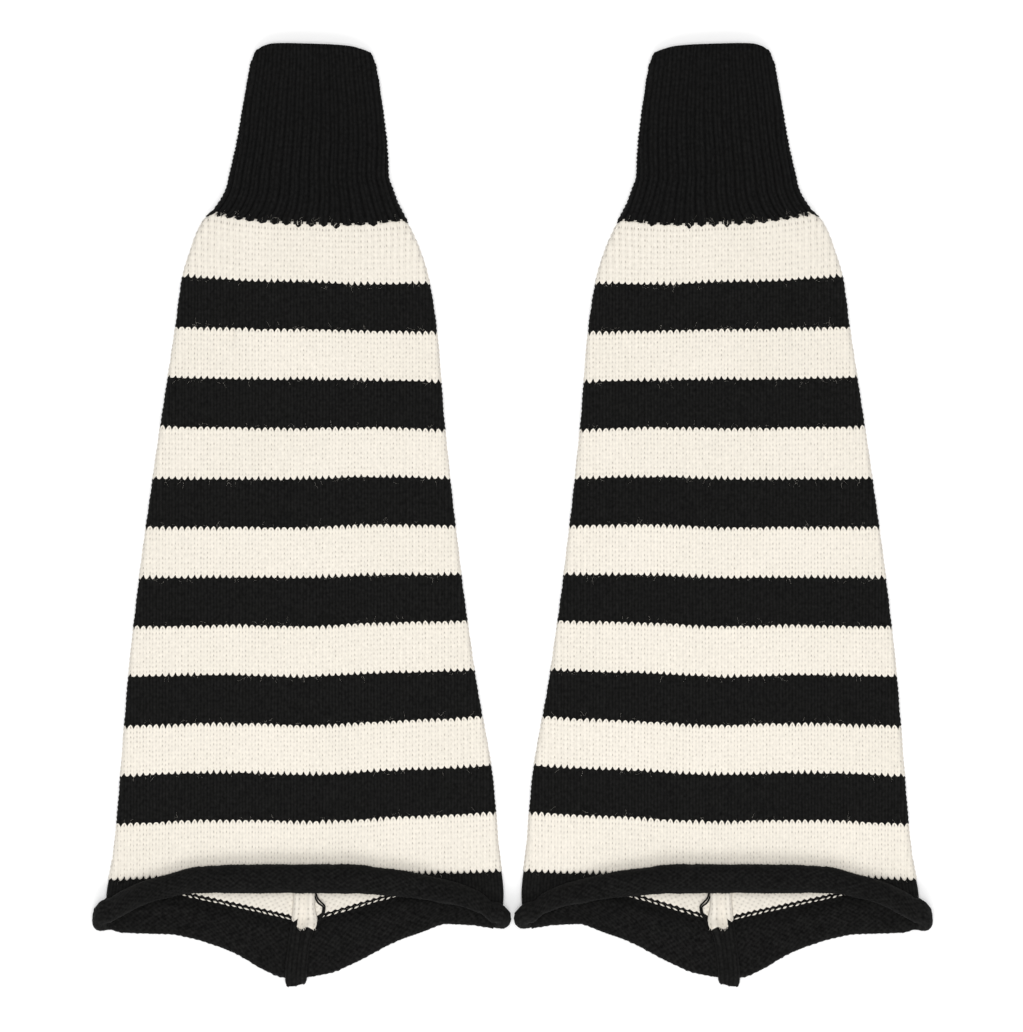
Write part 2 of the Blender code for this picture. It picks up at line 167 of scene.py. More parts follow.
# Seam allowance: side and height of its top, in mm, and how its end leaves the rim
SEAM_RIDGES = (
    (-5.5, 0.6),
    (-5.3, 1.7),
    (-4.4, 2.7),
    (-3.4, 3.1),
    (-2.2, 2.8),
    (-1.0, 1.8),
    (0.0, 1.3),
    (1.0, 1.8),
    (2.2, 2.7),
    (3.4, 3.0),
    (4.4, 2.6),
    (5.3, 1.6),
    (5.5, 0.6),
)
SEAM_TOP = 233.0 * MM
SEAM_LEAD = 2.7 * MM
SEAM_LEAN = 4.0 * MM
SEAM_LEAN_FROM = -190.0 * MM
SEAM_PRESSED = 2.5 * MM
SEAM_LEAN_RUN = 44.0 * MM
SeamEnd = namedtuple("SeamEnd", "along drop width height")
SEAM_END = (
    SeamEnd(-229.6, 0.0, 1.0, 1.0),
    SeamEnd(-232.4, 1.3, 1.0, 1.05),
    SeamEnd(-234.6, 2.4, 0.98, 0.95),
    SeamEnd(-235.8, 2.8, 0.88, 0.6),
)
SEAM_END_FROM = -231.0 * MM
SEAM_END_SLANT = 1.4 * MM

# The knitting. A wale has this many columns of points, and a course this many rows. A course
# zigzags by the chevron, the arms of a stitch stand up as lobes, and a fold takes up some cloth.
WALE = 3.2 * MM
COLUMNS = 4
ROWS = 2
CHEVRON = 1.9 * MM
LOBE = 0.75 * MM
FOLD_ARC = 6.6 * MM
HALF_ROUND = 63.25
WALES = np.arange(-HALF_ROUND * COLUMNS, HALF_ROUND * COLUMNS + 1) / COLUMNS
# What faces down more than this is the back
BACK_FACING = -0.9
# The inside has large faces, of this many courses
LINING_COURSES = 4
# The purl side shows on the hem and on the last courses inside the back. Its bumps vary, and are
# lower at the free edge and on the hem's back.
PURL_BUMP = 0.6 * MM
PURL_LEVEL = 0.3
PURL_STRAY = 0.55
PURL_AT_EDGE = 0.6
BACK_PURL = 0.6
PURL_COURSES = 14
HEM_COURSES = 17
# The curl is slowly thicker and thinner, fully so from this course on
SWELL_FROM = 4
ROLL_SWELL = 0.3 * MM
SWELL_WALES = 3.5
SWELL_COURSES = 4.0
# Stitches are uneven in place, in length at a stripe's edge and in fullness
STITCH_STRAY = 0.13 * MM
EDGE_STRAY = 0.45
FULLNESS_STRAY = 0.15
ROUNDING = 0.5 * MM
SCALLOP = 0.4 * MM
SCALLOP_LEVEL = 0.7
# Next to the cuff the body's courses are flatter, sunk, and drawn up under the ribs
CUFF_BLEND = 1.5
CUFF_TUCK = 0.6 * MM
CUFF_SINK = 0.35 * MM
LOBE_AT_CUFF = 0.4

# Numbers of a face's colour. A purl face has the number of its colour and this much more.
WHITE = 0
BLACK = 1
PURL = 2


def mix(first, last, part):
    return first + (last - first) * part


def unit(value):
    return np.clip(value, 0.0, 1.0)


def smooth_step(part):
    part = unit(part)
    return part * part * (3 - 2 * part)


def smooth_lookup(keys, values, key):
    """A curve through the values that doesn't overshoot them. The keys rise."""
    keys = np.asarray(keys, float)
    values = np.asarray(values, float)
    key = np.clip(key, keys[0], keys[-1])
    spans = np.diff(keys)
    slopes = np.diff(values) / spans
    same_way = slopes[:-1] * slopes[1:] > 0
    total = np.where(same_way, slopes[:-1] + slopes[1:], 1.0)
    inner = np.where(same_way, 2 * slopes[:-1] * slopes[1:] / total, 0.0)
    tangents = np.concatenate([slopes[:1], inner, slopes[-1:]])
    i = np.clip(np.searchsorted(keys, key, side="right") - 1, 0, len(keys) - 2)
    t = (key - keys[i]) / spans[i]
    rise = values[i + 1] - values[i]
    bend_in = tangents[i] * spans[i]
    bend_out = tangents[i + 1] * spans[i]
    return values[i] + t * bend_in + t * t * (3 * rise - 2 * bend_in - bend_out) + t**3 * (
        bend_in + bend_out - 2 * rise
    )


def column(rows, name):
    return [getattr(row, name) * MM for row in rows]


def edges_at(y):
    """The left and right outer edge of the left piece, at y along it."""
    keys = column(OUTLINE, "along")
    left = smooth_lookup(keys, column(OUTLINE, "left"), y)
    right = smooth_lookup(keys, column(OUTLINE, "right"), y)
    return left, right


def mouth_at(across):
    keys = [row.across for row in MOUTH]
    names = ("lip", "top", "thick", "rim")
    return Mouth(across, *(smooth_lookup(keys, column(MOUTH, name), across) for name in names))


def course_sides(number, spread=BLACK_SPREAD):
    """How far along a course lies at the left fold, the front's middle and the right fold."""
    keys = [row.number for row in COURSES]
    shifts = spread * np.where(np.arange(len(keys)) % 2, 1.0, -1.0)
    shifts[0] = 0.0
    names = ("left", "front", "right")
    return tuple(np.interp(number, keys, column(COURSES, name) + shifts) for name in names)


def front_course(number, across):
    left, front, right = course_sides(number)
    rises = []
    for bow in (LEFT_BOW, RIGHT_BOW):
        down = smooth_step((bow.upper - front / MM) / (bow.upper - bow.lower))
        rises.append(mix(bow.at_cuff, bow.at_hem, down) * MM)
    on_left = across < 0.5
    outwards = np.abs(2 * across - 1)
    bowed = np.maximum(0.0, np.sin(math.pi * outwards)) ** BOW_POWER
    straight = mix(front, np.where(on_left, left, right), outwards**2)
    return straight + np.where(on_left, rises[0], rises[1]) * bowed


def part_down(number):
    """The part of the way that a course lies from the cuff to the hem."""
    _, front, _ = course_sides(number, 0.0)
    return (COURSES[0].front * MM - front) / ((COURSES[0].front - COURSES[-1].front) * MM)


def seam_point(number):
    """How far along the seam a course of the back meets it: the point of its V."""
    left, _, right = course_sides(number, 0.0)
    return (left + right) / 2 - BACK_DIP * part_down(number)


def back_course(number, across):
    left, _, right = course_sides(number)
    point = seam_point(number)
    inwards = unit((1 - across) / (1 - SEAM_ACROSS))
    bowed = BACK_BOW * part_down(number) * np.sin(math.pi * inwards)
    left_half = mix(left, point, across / SEAM_ACROSS)
    right_half = mix(right, point, inwards) + bowed
    return np.where(across < SEAM_ACROSS, left_half, right_half)


def back_lift(across, y):
    """How far the cloth is raised by the edge turned under it."""
    return LIFT * smooth_step((back_course(BODY_COURSES, across) - y) / LIFT_RUN)


def gather_depth(x, y):
    depth = 0.0
    for gather in GATHERS:
        beside = (x / MM - gather.across) / gather.reach
        middle = (gather.upper + gather.lower) / 2
        beyond = (y / MM - middle) / ((gather.upper - gather.lower) / 2)
        depth = depth + gather.depth * MM * np.exp(-(beside**2) - beyond**4)
    return depth


# Slow waves of a soft cloth: wavelength in mm, heading in degrees and start
Wave = namedtuple("Wave", "length heading start")
SOFT_WAVES = (
    Wave(61, 12, 0.3),
    Wave(83, 77, 1.9),
    Wave(47, 118, 4.1),
    Wave(34, 31, 2.2),
    Wave(29, 152, 5.3),
)
SOFT_HEIGHT = 0.28 * MM
# Courses waver by the same waves, read over this width and from another start
COURSE_WAVER = 0.16 * MM
WAVER_WIDTH = 0.2
WAVER_START = 2.0


def waves(x, y, shift=0.0):
    """A slow random-looking ripple between about -1 and 1."""
    total = 0.0
    for wave in SOFT_WAVES:
        heading = math.radians(wave.heading)
        along = (x * math.cos(heading) + y * math.sin(heading)) / (wave.length * MM)
        total = total + np.sin(FULL_TURN * along + wave.start + shift)
    return total / 3


def across_at(y, part):
    """The x of a part of the way from the left fold to the right one, at y along the piece."""
    left, right = edges_at(y)
    return mix(left + FOLD_INSET, right - FOLD_INSET, part)


def place(across, angle, y, out, edge_y=None):
    """Points of the left piece at y, out from the middle of the wall. Cloth that has curled back
    on itself keeps to the side edges at edge_y, where it turned."""
    x = across_at(y if edge_y is None else edge_y, across)
    facing_up = np.maximum(0.0, np.sin(angle))
    crown = 1 - np.abs(2 * across - 1) ** CROWN_POWER
    z = HALF_WALL + FOLD_RADIUS + (FOLD_RADIUS + out) * np.sin(angle)
    z = z + facing_up * (CROWN * crown - gather_depth(x, y)) + back_lift(across, y)
    z = z + facing_up * crown * SOFT_HEIGHT * waves(x, y)
    points = np.broadcast_arrays(x + (FOLD_RADIUS + out) * np.cos(angle), y, np.maximum(0.0, z))
    return np.stack(points, axis=-1)


# A wale's place on a bowed course is worked out again this often, from its last one
FITTINGS = 3


def lay_columns(numbers, wales):
    """Where each wale lies on each course: its part of the way across, the way it faces, how far
    along it lies, and how far it is from the seam. Wales run straight down the front, so as the
    piece narrows they go round the folds to the back, where the seam cuts them off."""
    number = numbers[:, None]
    reach_out = wales[None, :] * WALE
    left_y, _, right_y = course_sides(number)
    point_y = seam_point(number)
    across = np.zeros(np.broadcast(number, reach_out).shape)
    angle = np.full_like(across, UP)
    y = np.zeros_like(across)
    to_seam = np.zeros_like(across)
    for side, fold_y in ((-1, left_y), (1, right_y)):
        left, right = edges_at(fold_y)
        low = left + FOLD_INSET
        high = right - FOLD_INSET
        reach = high + LEG_CENTRE if side > 0 else -LEG_CENTRE - low
        past = side * reach_out - reach
        part = (reach_out - LEG_CENTRE - low) / (high - low)
        for _ in range(FITTINGS):
            left, right = edges_at(front_course(number, unit(part)))
            span = right - left - 2 * FOLD_INSET
            part = (reach_out - LEG_CENTRE - left - FOLD_INSET) / span
        part = unit(part)
        fold_end = 1.0 if side > 0 else 0.0
        run = abs(fold_end - SEAM_ACROSS) * (high - low)
        length = np.hypot(run, fold_y - point_y)
        down_back = unit((past - FOLD_ARC) / length)
        turned = unit(past / FOLD_ARC) * math.pi
        here = reach_out >= 0 if side > 0 else reach_out < 0
        on_front = past <= 0
        part = np.where(on_front, part, mix(fold_end, SEAM_ACROSS, down_back))
        facing = UP - turned if side > 0 else UP + turned
        along = np.where(on_front, front_course(number, part), back_course(number, part))
        across = np.where(here, part, across)
        angle = np.where(here, facing, angle)
        y = np.where(here, along, y)
        to_seam = np.where(here, length + FOLD_ARC - past, to_seam)
    return across, angle, y, to_seam


def knit_lobes(wale, course):
    """Relief of the knit side from 0 to 1: two arms to a stitch, low where they dive under."""
    arm = np.interp(wale % 1, (0, 0.25, 0.5, 0.75, 1), (0.0, 1.0, 0.3, 1.0, 0.0))
    return arm * mix(0.5, 1.0, np.sin(math.pi * (course % 1)) ** 2)


def hand_uneven(wale, course, seed):
    """Values between -1 and 1, a different one for each stitch, eased from one to the next."""
    high = int(np.max(course)) + 2
    wide = int(np.max(wale) - np.min(wale)) + 3
    values = np.random.default_rng(seed).uniform(-1.0, 1.0, (high + 1, wide + 1))
    row = np.floor(course).astype(int)
    place_across = wale - np.min(wale)
    k = np.floor(place_across).astype(int)
    down = course - row
    over = place_across - k
    upper = mix(values[row, k], values[row, k + 1], over)
    lower = mix(values[row + 1, k], values[row + 1, k + 1], over)
    return mix(upper, lower, down)


def purl_bumps(wale, course):
    """Relief of the purl side from 0 to 1: short arcs laid like bricks."""
    return 0.5 + 0.5 * np.cos(FULL_TURN * wale) * np.cos(FULL_TURN * course)


def chevron(wale):
    """How far a course rises at the edges of a wale and dips in its middle."""
    return CHEVRON * (np.abs(1 - 2 * (wale % 1)) - 0.5)


def band_of(course):
    """The stripe that a course is in, white ones even."""
    return np.searchsorted([row.number for row in COURSES], course, side="right") - 1


def stripe_rounding(wale, course):
    """White loops look fuller than black ones, so they bulge where the colours meet."""
    is_arm = np.isin(wale % 1, (0.25, 0.75))
    sign = np.zeros_like(course)
    for band, row in enumerate(COURSES):
        sign = np.where(course == row.number, 1.0 if band % 2 == 0 else -1.0, sign)
    return ROUNDING * is_arm * sign


class Skin:
    """Faces over grids of points. A grid's number array gives each point its number, and points
    that are one point share it."""

    def __init__(self):
        self.points = []
        self.count = 0
        self.faces = []
        self.corners = []
        self.colours = []

    def add_grid(self, points, joined=None):
        rows, columns, _ = points.shape
        numbers = self.count + np.arange(rows * columns).reshape(rows, columns)
        if joined is not None:
            numbers = np.where(joined, numbers[:, -1:], numbers)
        self.points.append(points.reshape(-1, 3))
        self.count += rows * columns
        return numbers

    def add_face(self, numbers, corners, colour):
        kept = [k for k in range(len(numbers)) if numbers[k] != numbers[k - 1]]
        if len({numbers[k] for k in kept}) < 3:
            return
        self.faces.append([numbers[k] for k in kept])
        self.corners.extend(corners[k] for k in kept)
        self.colours.append(colour)

    def add_blocks(self, numbers, blocks, chart, outwards=True):
        """A face for each block (first row, last row, first column, last column, colour), with
        each point on its edge that any block has as a corner."""
        used = np.zeros(numbers.shape, bool)
        for top, bottom, left, right, _ in blocks:
            used[top, left] = used[top, right] = used[bottom, left] = used[bottom, right] = True
        table = numbers.tolist()
        marks = used.tolist()
        wales, courses = chart
        for top, bottom, left, right, colour in blocks:
            edge = [(row, left) for row in range(top, bottom)]
            edge += [(bottom, k) for k in range(left, right)]
            edge += [(row, right) for row in range(bottom, top, -1)]
            edge += [(top, k) for k in range(right, left, -1)]
            edge = [spot for spot in edge if marks[spot[0]][spot[1]]]
            if not outwards:
                edge.reverse()
            corners = [(wales[k], courses[row]) for row, k in edge]
            side = 0 if outwards else PURL
            self.add_face([table[row][k] for row, k in edge], corners, colour + side)
        return used

    def add_rim(self, outer, inner, outer_used, inner_used, row, chart, colour):
        """Closes the wall along the first or the last row."""
        wales, courses = chart
        stops = [k for k in range(inner.shape[1]) if inner_used[row, k]]
        for first, last in zip(stops, stops[1:]):
            run = [k for k in range(first, last + 1) if outer_used[row, k]]
            numbers = [outer[row, k] for k in run] + [inner[row, last], inner[row, first]]
            corners = [(wales[k], courses[row]) for k in run + [last, first]]
            if row != 0:
                numbers.reverse()
                corners.reverse()
            self.add_face(numbers, corners, colour)

    def shape(self):
        points = np.concatenate(self.points)
        used, numbers = np.unique([n for face in self.faces for n in face], return_inverse=True)
        numbers = iter(numbers.tolist())
        faces = [[next(numbers) for _ in face] for face in self.faces]
        return points[used], faces, self.corners, self.colours


def stripe_colour(course):
    return BLACK if band_of(course) % 2 else WHITE


def walled_shape(grids, ended, chart, blocks, lining, rim_colour, is_ring=False):
    """A wall between an outer and an inner grid of points, closed along its rims. A ring's last
    column is its first one."""
    skin = Skin()
    outer, inner = (skin.add_grid(grid, ended) for grid in grids)
    chart = [side.tolist() for side in chart]
    if is_ring:
        outer[:, -1] = outer[:, 0]
        inner[:, -1] = inner[:, 0]
    outer_used = skin.add_blocks(outer, blocks, chart)
    inner_used = skin.add_blocks(inner, lining, chart, outwards=False)
    for row in (0, len(outer) - 1):
        skin.add_rim(outer, inner, outer_used, inner_used, row, chart, rim_colour)
    return skin.shape()


def body_grids(courses):
    """Points of the body's knit side and of its inside, and which of them lie on the back and
    past the seam."""
    across, angle, y, to_seam = lay_columns(courses, WALES)
    course, wale = np.broadcast_arrays(courses[:, None], WALES[None, :])
    near_seam = unit(to_seam / (WALE / 2))
    near_cuff = unit(course / CUFF_BLEND)
    at_edge = np.isin(course, [row.number for row in COURSES])
    stray = np.where(at_edge, EDGE_STRAY, EDGE_STRAY / 4) * hand_uneven(wale, course, seed=3)
    shift = chevron(wale) * (1 + stray) + stripe_rounding(wale, course)
    shift = shift + STITCH_STRAY * hand_uneven(wale, course, seed=5)
    shift = shift * near_seam * near_cuff + CUFF_TUCK * (1 - near_cuff)
    shift = shift + COURSE_WAVER * waves(across * WAVER_WIDTH, y, WAVER_START) * near_cuff
    fullness = 1 + FULLNESS_STRAY * hand_uneven(wale, course, seed=8)
    relief = LOBE * np.minimum(1.0, knit_lobes(wale, course) * fullness) * near_seam
    facing_up = np.sin(angle)
    sunk = mix(LOBE, LOBE / 2, (facing_up + 1) / 2) + CUFF_SINK * (1 - near_cuff)
    out = HALF_WALL - sunk + relief * mix(LOBE_AT_CUFF, 1.0, near_cuff)
    outer = place(across, angle, y + shift, out)
    sideways = STITCH_STRAY * hand_uneven(wale, course, seed=12)
    outer[..., 0] += sideways * near_seam * unit(facing_up)
    is_back = facing_up < BACK_FACING
    purl = PURL_BUMP * (purl_bumps(wale, course) - PURL_LEVEL) * near_seam
    purl = np.where(is_back & (course > BODY_COURSES - PURL_COURSES), purl, 0.0)
    scallop = np.where(is_back & (course == BODY_COURSES - 1 / ROWS), SCALLOP, 0.0) * near_seam
    inner_y = y + scallop * (np.cos(FULL_TURN * wale) - SCALLOP_LEVEL)
    inner = place(across, angle, inner_y, -HALF_WALL - purl)
    return outer, inner, is_back, to_seam <= 0


def knit_blocks(is_back, ended):
    """The body's knit side: a face for each point of a row, and one a course on the back."""
    blocks = []
    for number in range(BODY_COURSES):
        top = number * ROWS
        bottom = top + ROWS
        flat = is_back[top : bottom + 1].all(axis=0)
        gone = ended[top : bottom + 1].all(axis=0)
        for k in range(len(flat) - 1):
            if gone[k] and gone[k + 1]:
                continue
            rows = range(top, bottom + 1, ROWS if flat[k] and flat[k + 1] else 1)
            blocks.extend((a, b, k, k + 1, stripe_colour(number)) for a, b in zip(rows, rows[1:]))
    return blocks


def lining_blocks(is_back):
    """The body's inside: large faces, and small ones where its purl side shows at the mouth."""
    last = is_back.shape[1] - 1
    fine_from = BODY_COURSES - PURL_COURSES
    starts = [(k, min(k + COLUMNS, last)) for k in range(1, last, COLUMNS)]
    blocks = []
    for number in range(0, fine_from, LINING_COURSES):
        top = number * ROWS
        bottom = min(number + LINING_COURSES, fine_from) * ROWS
        blocks.extend((top, bottom, *run, stripe_colour(number)) for run in starts)
    for number in range(fine_from, BODY_COURSES):
        top = number * ROWS
        bottom = top + ROWS
        flat = is_back[top : bottom + 1].all(axis=0)
        for first, end in starts:
            if not flat[first : end + 1].all():
                blocks.append((top, bottom, first, end, stripe_colour(number)))
                continue
            for row in range(top, bottom):
                at_hem = row == BODY_COURSES * ROWS - 1
                colour = BLACK if at_hem else stripe_colour(number)
                blocks.extend((row, row + 1, k, k + 1, colour) for k in range(first, end))
    blocks.extend([(*block[:2], 0, 1, block[4]) for block in blocks if block[2] == 1])
    return blocks


def body_shape():
    courses = np.arange(BODY_COURSES * ROWS + 1) / ROWS
    outer, inner, is_back, ended = body_grids(courses)
    blocks = knit_blocks(is_back, ended)
    lining = lining_blocks(is_back)
    return walled_shape((outer, inner), ended, (WALES, courses), blocks, lining, WHITE)


def drawn_in(across, facing, start, low):
    """How far the mouth draws the fold in between two places along it, towards this station."""
    before = edges_at(start)
    after = edges_at(low)
    change = after[0] - before[0] if across < 0.5 else before[1] - after[1]
    return max(0.0, change) * math.sqrt(max(0.0, 1 - facing * facing))


def curl_trail(across, angle, start):
    """The hem's section at a place round it, as arrays along it: the length so far, how far down
    and out it is, its heading, and the lowest y so far. It runs straight, bends back on its
    outside, runs flat, turns in and winds on inside the curl."""
    mouth = mouth_at(across)
    facing = math.sin(angle)
    low = mix(mouth.lip, mouth.rim, smooth_step(1 - facing))
    radius = mouth.thick / 2 - HALF_WALL
    below = max(0.0, -facing)
    if below > 0:
        radius = min(radius, ((FOLD_INSET + LIFT) / below - FOLD_INSET) / 2)
    straight = max(0.0, start - low - radius - HALF_WALL)
    front_flat = max(0.0, mouth.top - mouth.lip - mouth.thick)
    back_flat = min(TURN_UNDER, straight - LIFT_RUN)
    needed = WALL + SEAM_GAP + drawn_in(across, facing, start, low)
    turn_in = math.acos(min(1.0, max(0.0, needed / radius - 1)))
    turn_in *= min(1.0, max(0.0, (radius - FOLD_RADIUS) / MM))
    inward = max(LEAST_INNER_TURN, radius - WALL - CURL_CLEARANCE)
    wound = min(1.0, (inward - LEAST_INNER_TURN) / (MOST_INNER_TURN - LEAST_INNER_TURN))
    sections = (
        (straight, 0.0),
        (radius * math.pi, math.pi),
        (mix(front_flat, back_flat, below**TURN_UNDER_POWER), 0.0),
        (radius * turn_in, turn_in),
        (inward * wound * INNER_TURN_ANGLE, wound * INNER_TURN_ANGLE),
    )
    lengths = []
    turns = []
    for length, turn in sections:
        count = math.ceil(length / CURL_STEP)
        lengths.extend([length / count] * count if count else [])
        turns.extend([turn / count] * count if count else [])
    heading = np.cumsum(turns)
    middle = heading - np.array(turns) / 2
    along = np.concatenate([[0.0], np.cumsum(lengths)])
    down = np.concatenate([[0.0], np.cumsum(np.cos(middle) * lengths)])
    out = np.concatenate([[0.0], np.cumsum(np.sin(middle) * lengths)])
    heading = np.concatenate([[0.0], heading])
    return along, down, out, heading, np.minimum.accumulate(start - down)


def hem_shape():
    start_course = np.array([float(BODY_COURSES)])
    across, angle, start, to_seam = (grid[0] for grid in lay_columns(start_course, WALES))
    near_seam = unit(to_seam / (WALE / 2))
    count = HEM_COURSES * ROWS
    part = np.arange(count + 1) / count
    course = part * HEM_COURSES
    at_end = unit((count - np.arange(count + 1)) / ROWS)
    knit = np.zeros((count + 1, len(WALES), 3))
    purl = np.zeros_like(knit)
    number = (np.arange(count + 1) / ROWS)[:, None]
    stray = 1 + PURL_STRAY * hand_uneven(WALES, number, seed=41)
    swell = ROLL_SWELL * hand_uneven(WALES / SWELL_WALES, number / SWELL_COURSES, seed=43)
    for k, wale in enumerate(WALES):
        along, down, out, heading, lowest = curl_trail(across[k], angle[k], start[k])
        relief = LOBE * (knit_lobes(wale, course) - 1) * near_seam[k]
        height = PURL_BUMP * mix(BACK_PURL, 1.0, (math.sin(angle[k]) + 1) / 2)
        bump = height * (purl_bumps(wale, course) * stray[:, k] - PURL_LEVEL)
        bump = bump * mix(PURL_AT_EDGE, 1.0, at_end)
        bump = (bump + swell[:, k] * smooth_step(course / SWELL_FROM)) * near_seam[k]
        zigzag = chevron(wale) * near_seam[k] * at_end
        sides = ((knit, HALF_WALL + relief, zigzag), (purl, -HALF_WALL - bump, 0.0))
        for grid, thick, shift in sides:
            spot = part * along[-1] - shift
            fall = np.interp(spot, along, down) + np.minimum(0.0, spot)
            turn = np.interp(spot, along, heading)
            y = start[k] - fall + thick * np.sin(turn)
            stand = np.interp(spot, along, out) + thick * np.cos(turn)
            least = np.minimum(start[k], np.interp(spot, along, lowest))
            grid[:, k] = place(across[k], angle[k], y, stand, least)
    ended = to_seam <= 0
    kept = [k for k in range(len(WALES) - 1) if not (ended[k] and ended[k + 1])]
    blocks = [(row, row + ROWS, k, k + 1, BLACK) for k in kept for row in range(0, count, ROWS)]
    lining = [(row, row + 1, k, k + 1, BLACK) for k in kept for row in range(count)]
    joined = np.broadcast_to(ended, knit.shape[:2])
    chart = (WALES, BODY_COURSES + np.arange(count + 1) / ROWS)
    return walled_shape((knit, purl), joined, chart, blocks, lining, BLACK)


# One rib of the cuff: part of the way across it, how far it stands out at the top and at the
# end in mm, and its V's rise
Rib = namedtuple("Rib", "part top end rise")
RIB = (
    Rib(0.0, 0.9, -0.2, 0.0),
    Rib(0.08, 1.0, 0.3, 0.2),
    Rib(0.18, 1.3, 1.25, 0.8),
    Rib(0.28, 1.5, 1.65, 0.2),
    Rib(0.39, 1.35, 1.5, -0.6),
    Rib(0.5, 1.1, 1.1, -1.0),
    Rib(0.61, 1.35, 1.5, -0.6),
    Rib(0.72, 1.5, 1.65, 0.2),
    Rib(0.82, 1.3, 1.25, 0.8),
    Rib(0.92, 1.0, 0.3, 0.2),
)
# Ribs run straight down the front, so fewer of them lie across it at the cuff's top
HALF_RIBS_TOP = 7.0
HALF_RIBS_END = 8.0
FOLD_RIBS = 1.6
RIBS_A_SIDE = 17
CUFF_COURSES = 37
RIB_CHEVRON = 1.1 * MM
RIB_STITCH = 0.3 * MM
RIB_STRAY = 0.5 * MM
RIB_SHIFT = 0.35 * MM
RIB_STRAY_COURSES = 7
RIB_STRAY_HEIGHT = 0.18
RIB_TALLEST = 1.08
# The parts across a rib where its two arms lie, and how its valleys move against them
RIB_ARMS = (0.28, 0.72)
VALLEY_STITCH = -0.6
# Ribs reach the shape of the cuff's end before it, and lie flatter on the back and at the top
RIB_GROWTH = 1.3
BACK_RIB_SINK = 0.45 * MM
CUFF_EDGE_DROP = 0.5 * MM
# At its end each rib is a tooth of another length. A rib's point is on it from this rise down.
TOOTH = 1.5 * MM
TOOTH_SIZES = (0.3, 1.6)
TOOTH_COURSES = 1.5
TOOTH_ROOT = 0.9
TOOTH_TIP = -1.0
# The cuff's inside has large faces, of this many rows and columns
LINING_ROWS = 8
LINING_COLUMNS = 5


def rib_places(turn, down):
    """How far across ribs lie and the way they face, at parts of the way down the cuff. turn
    counts ribs all round, from the seam."""
    from_middle = turn[None, :] - RIBS_A_SIDE
    front = mix(HALF_RIBS_TOP, HALF_RIBS_END, down)
    beyond = np.abs(from_middle) - front
    right = from_middle > 0
    to_fold = 0.5 + from_middle / front / 2
    back_part = unit((beyond - FOLD_RIBS) / (RIBS_A_SIDE - front - FOLD_RIBS))
    on_back = mix(np.where(right, 1.0, 0.0), SEAM_ACROSS, back_part)
    turned = math.pi * unit(beyond / FOLD_RIBS)
    across = unit(np.where(beyond > 0, on_back, to_fold))
    return across, np.where(right, UP - turned, UP + turned)


def cuff_edges(across, angle):
    """How far along the cuff's top and its end lie."""
    top = mix(CUFF_TOP_LEFT, CUFF_TOP_RIGHT, across)
    top = top - CUFF_LEFT_CORNER.drop * (1 - across) ** CUFF_LEFT_CORNER.power
    top = top - CUFF_RIGHT_CORNER.drop * across**CUFF_RIGHT_CORNER.power
    top = top - CUFF_FOLD_CORNER.drop * np.abs(np.cos(angle)) ** CUFF_FOLD_CORNER.power
    end = np.where(np.sin(angle) > 0, front_course(0, across), back_course(0, across))
    return top * MM, end


def cuff_shape():
    count = 2 * RIBS_A_SIDE * len(RIB)
    kind = np.arange(count + 1) % len(RIB)
    part, out_at_top, out_at_end, rise = np.array(RIB)[kind].T
    turn = np.arange(count + 1) // len(RIB) + part
    courses = np.arange(CUFF_COURSES * ROWS + 1) / ROWS
    course = courses[:, None]
    down = course / CUFF_COURSES
    across, angle = rib_places(turn, down)
    facing = np.sin(angle)
    top, end = cuff_edges(across, angle)
    sizes = np.random.default_rng(7).uniform(*TOOTH_SIZES, 2 * RIBS_A_SIDE + 1)
    on_tooth = unit((rise - TOOTH_ROOT) / (TOOTH_TIP - TOOTH_ROOT))
    tooth = -TOOTH * sizes[turn.astype(int)] * on_tooth
    inside = unit(course)
    at_end = unit((CUFF_COURSES - course) / TOOTH_COURSES)
    y = mix(top, end, down) + rise * RIB_CHEVRON * inside * at_end + tooth * (1 - at_end)
    movement = np.where(np.isin(part, RIB_ARMS), 1.0, VALLEY_STITCH)
    stitch = RIB_STITCH * np.cos(FULL_TURN * course) * movement
    stitch = np.where(kind == 0, -stitch, stitch)
    out = mix(out_at_top, out_at_end, smooth_step(down * RIB_GROWTH)) * MM - stitch
    out = out - mix(BACK_RIB_SINK, 0.0, (facing + 1) / 2) - CUFF_EDGE_DROP * (1 - inside)
    fullness = 1 + RIB_STRAY_HEIGHT * hand_uneven(turn, course, seed=31)
    outer = place(across, angle, y, out * np.minimum(fullness, RIB_TALLEST))
    sway = RIB_STRAY * hand_uneven(turn, course / RIB_STRAY_COURSES, seed=17)
    sway = sway + RIB_SHIFT * hand_uneven(turn, 0.0, seed=19)
    outer[..., 0] += sway * unit(facing)
    inner = place(across, angle, mix(top, end, down), -HALF_WALL)
    last = len(courses) - 1
    blocks = [(row, row + 1, k, k + 1, BLACK) for row in range(last) for k in range(count)]
    rows = [*range(0, last, LINING_ROWS), last]
    runs = [(k, k + LINING_COLUMNS) for k in range(0, count, LINING_COLUMNS)]
    lining = [(*span, *run, BLACK) for span in zip(rows, rows[1:]) for run in runs]
    return walled_shape((outer, inner), None, (turn, courses), blocks, lining, BLACK, is_ring=True)


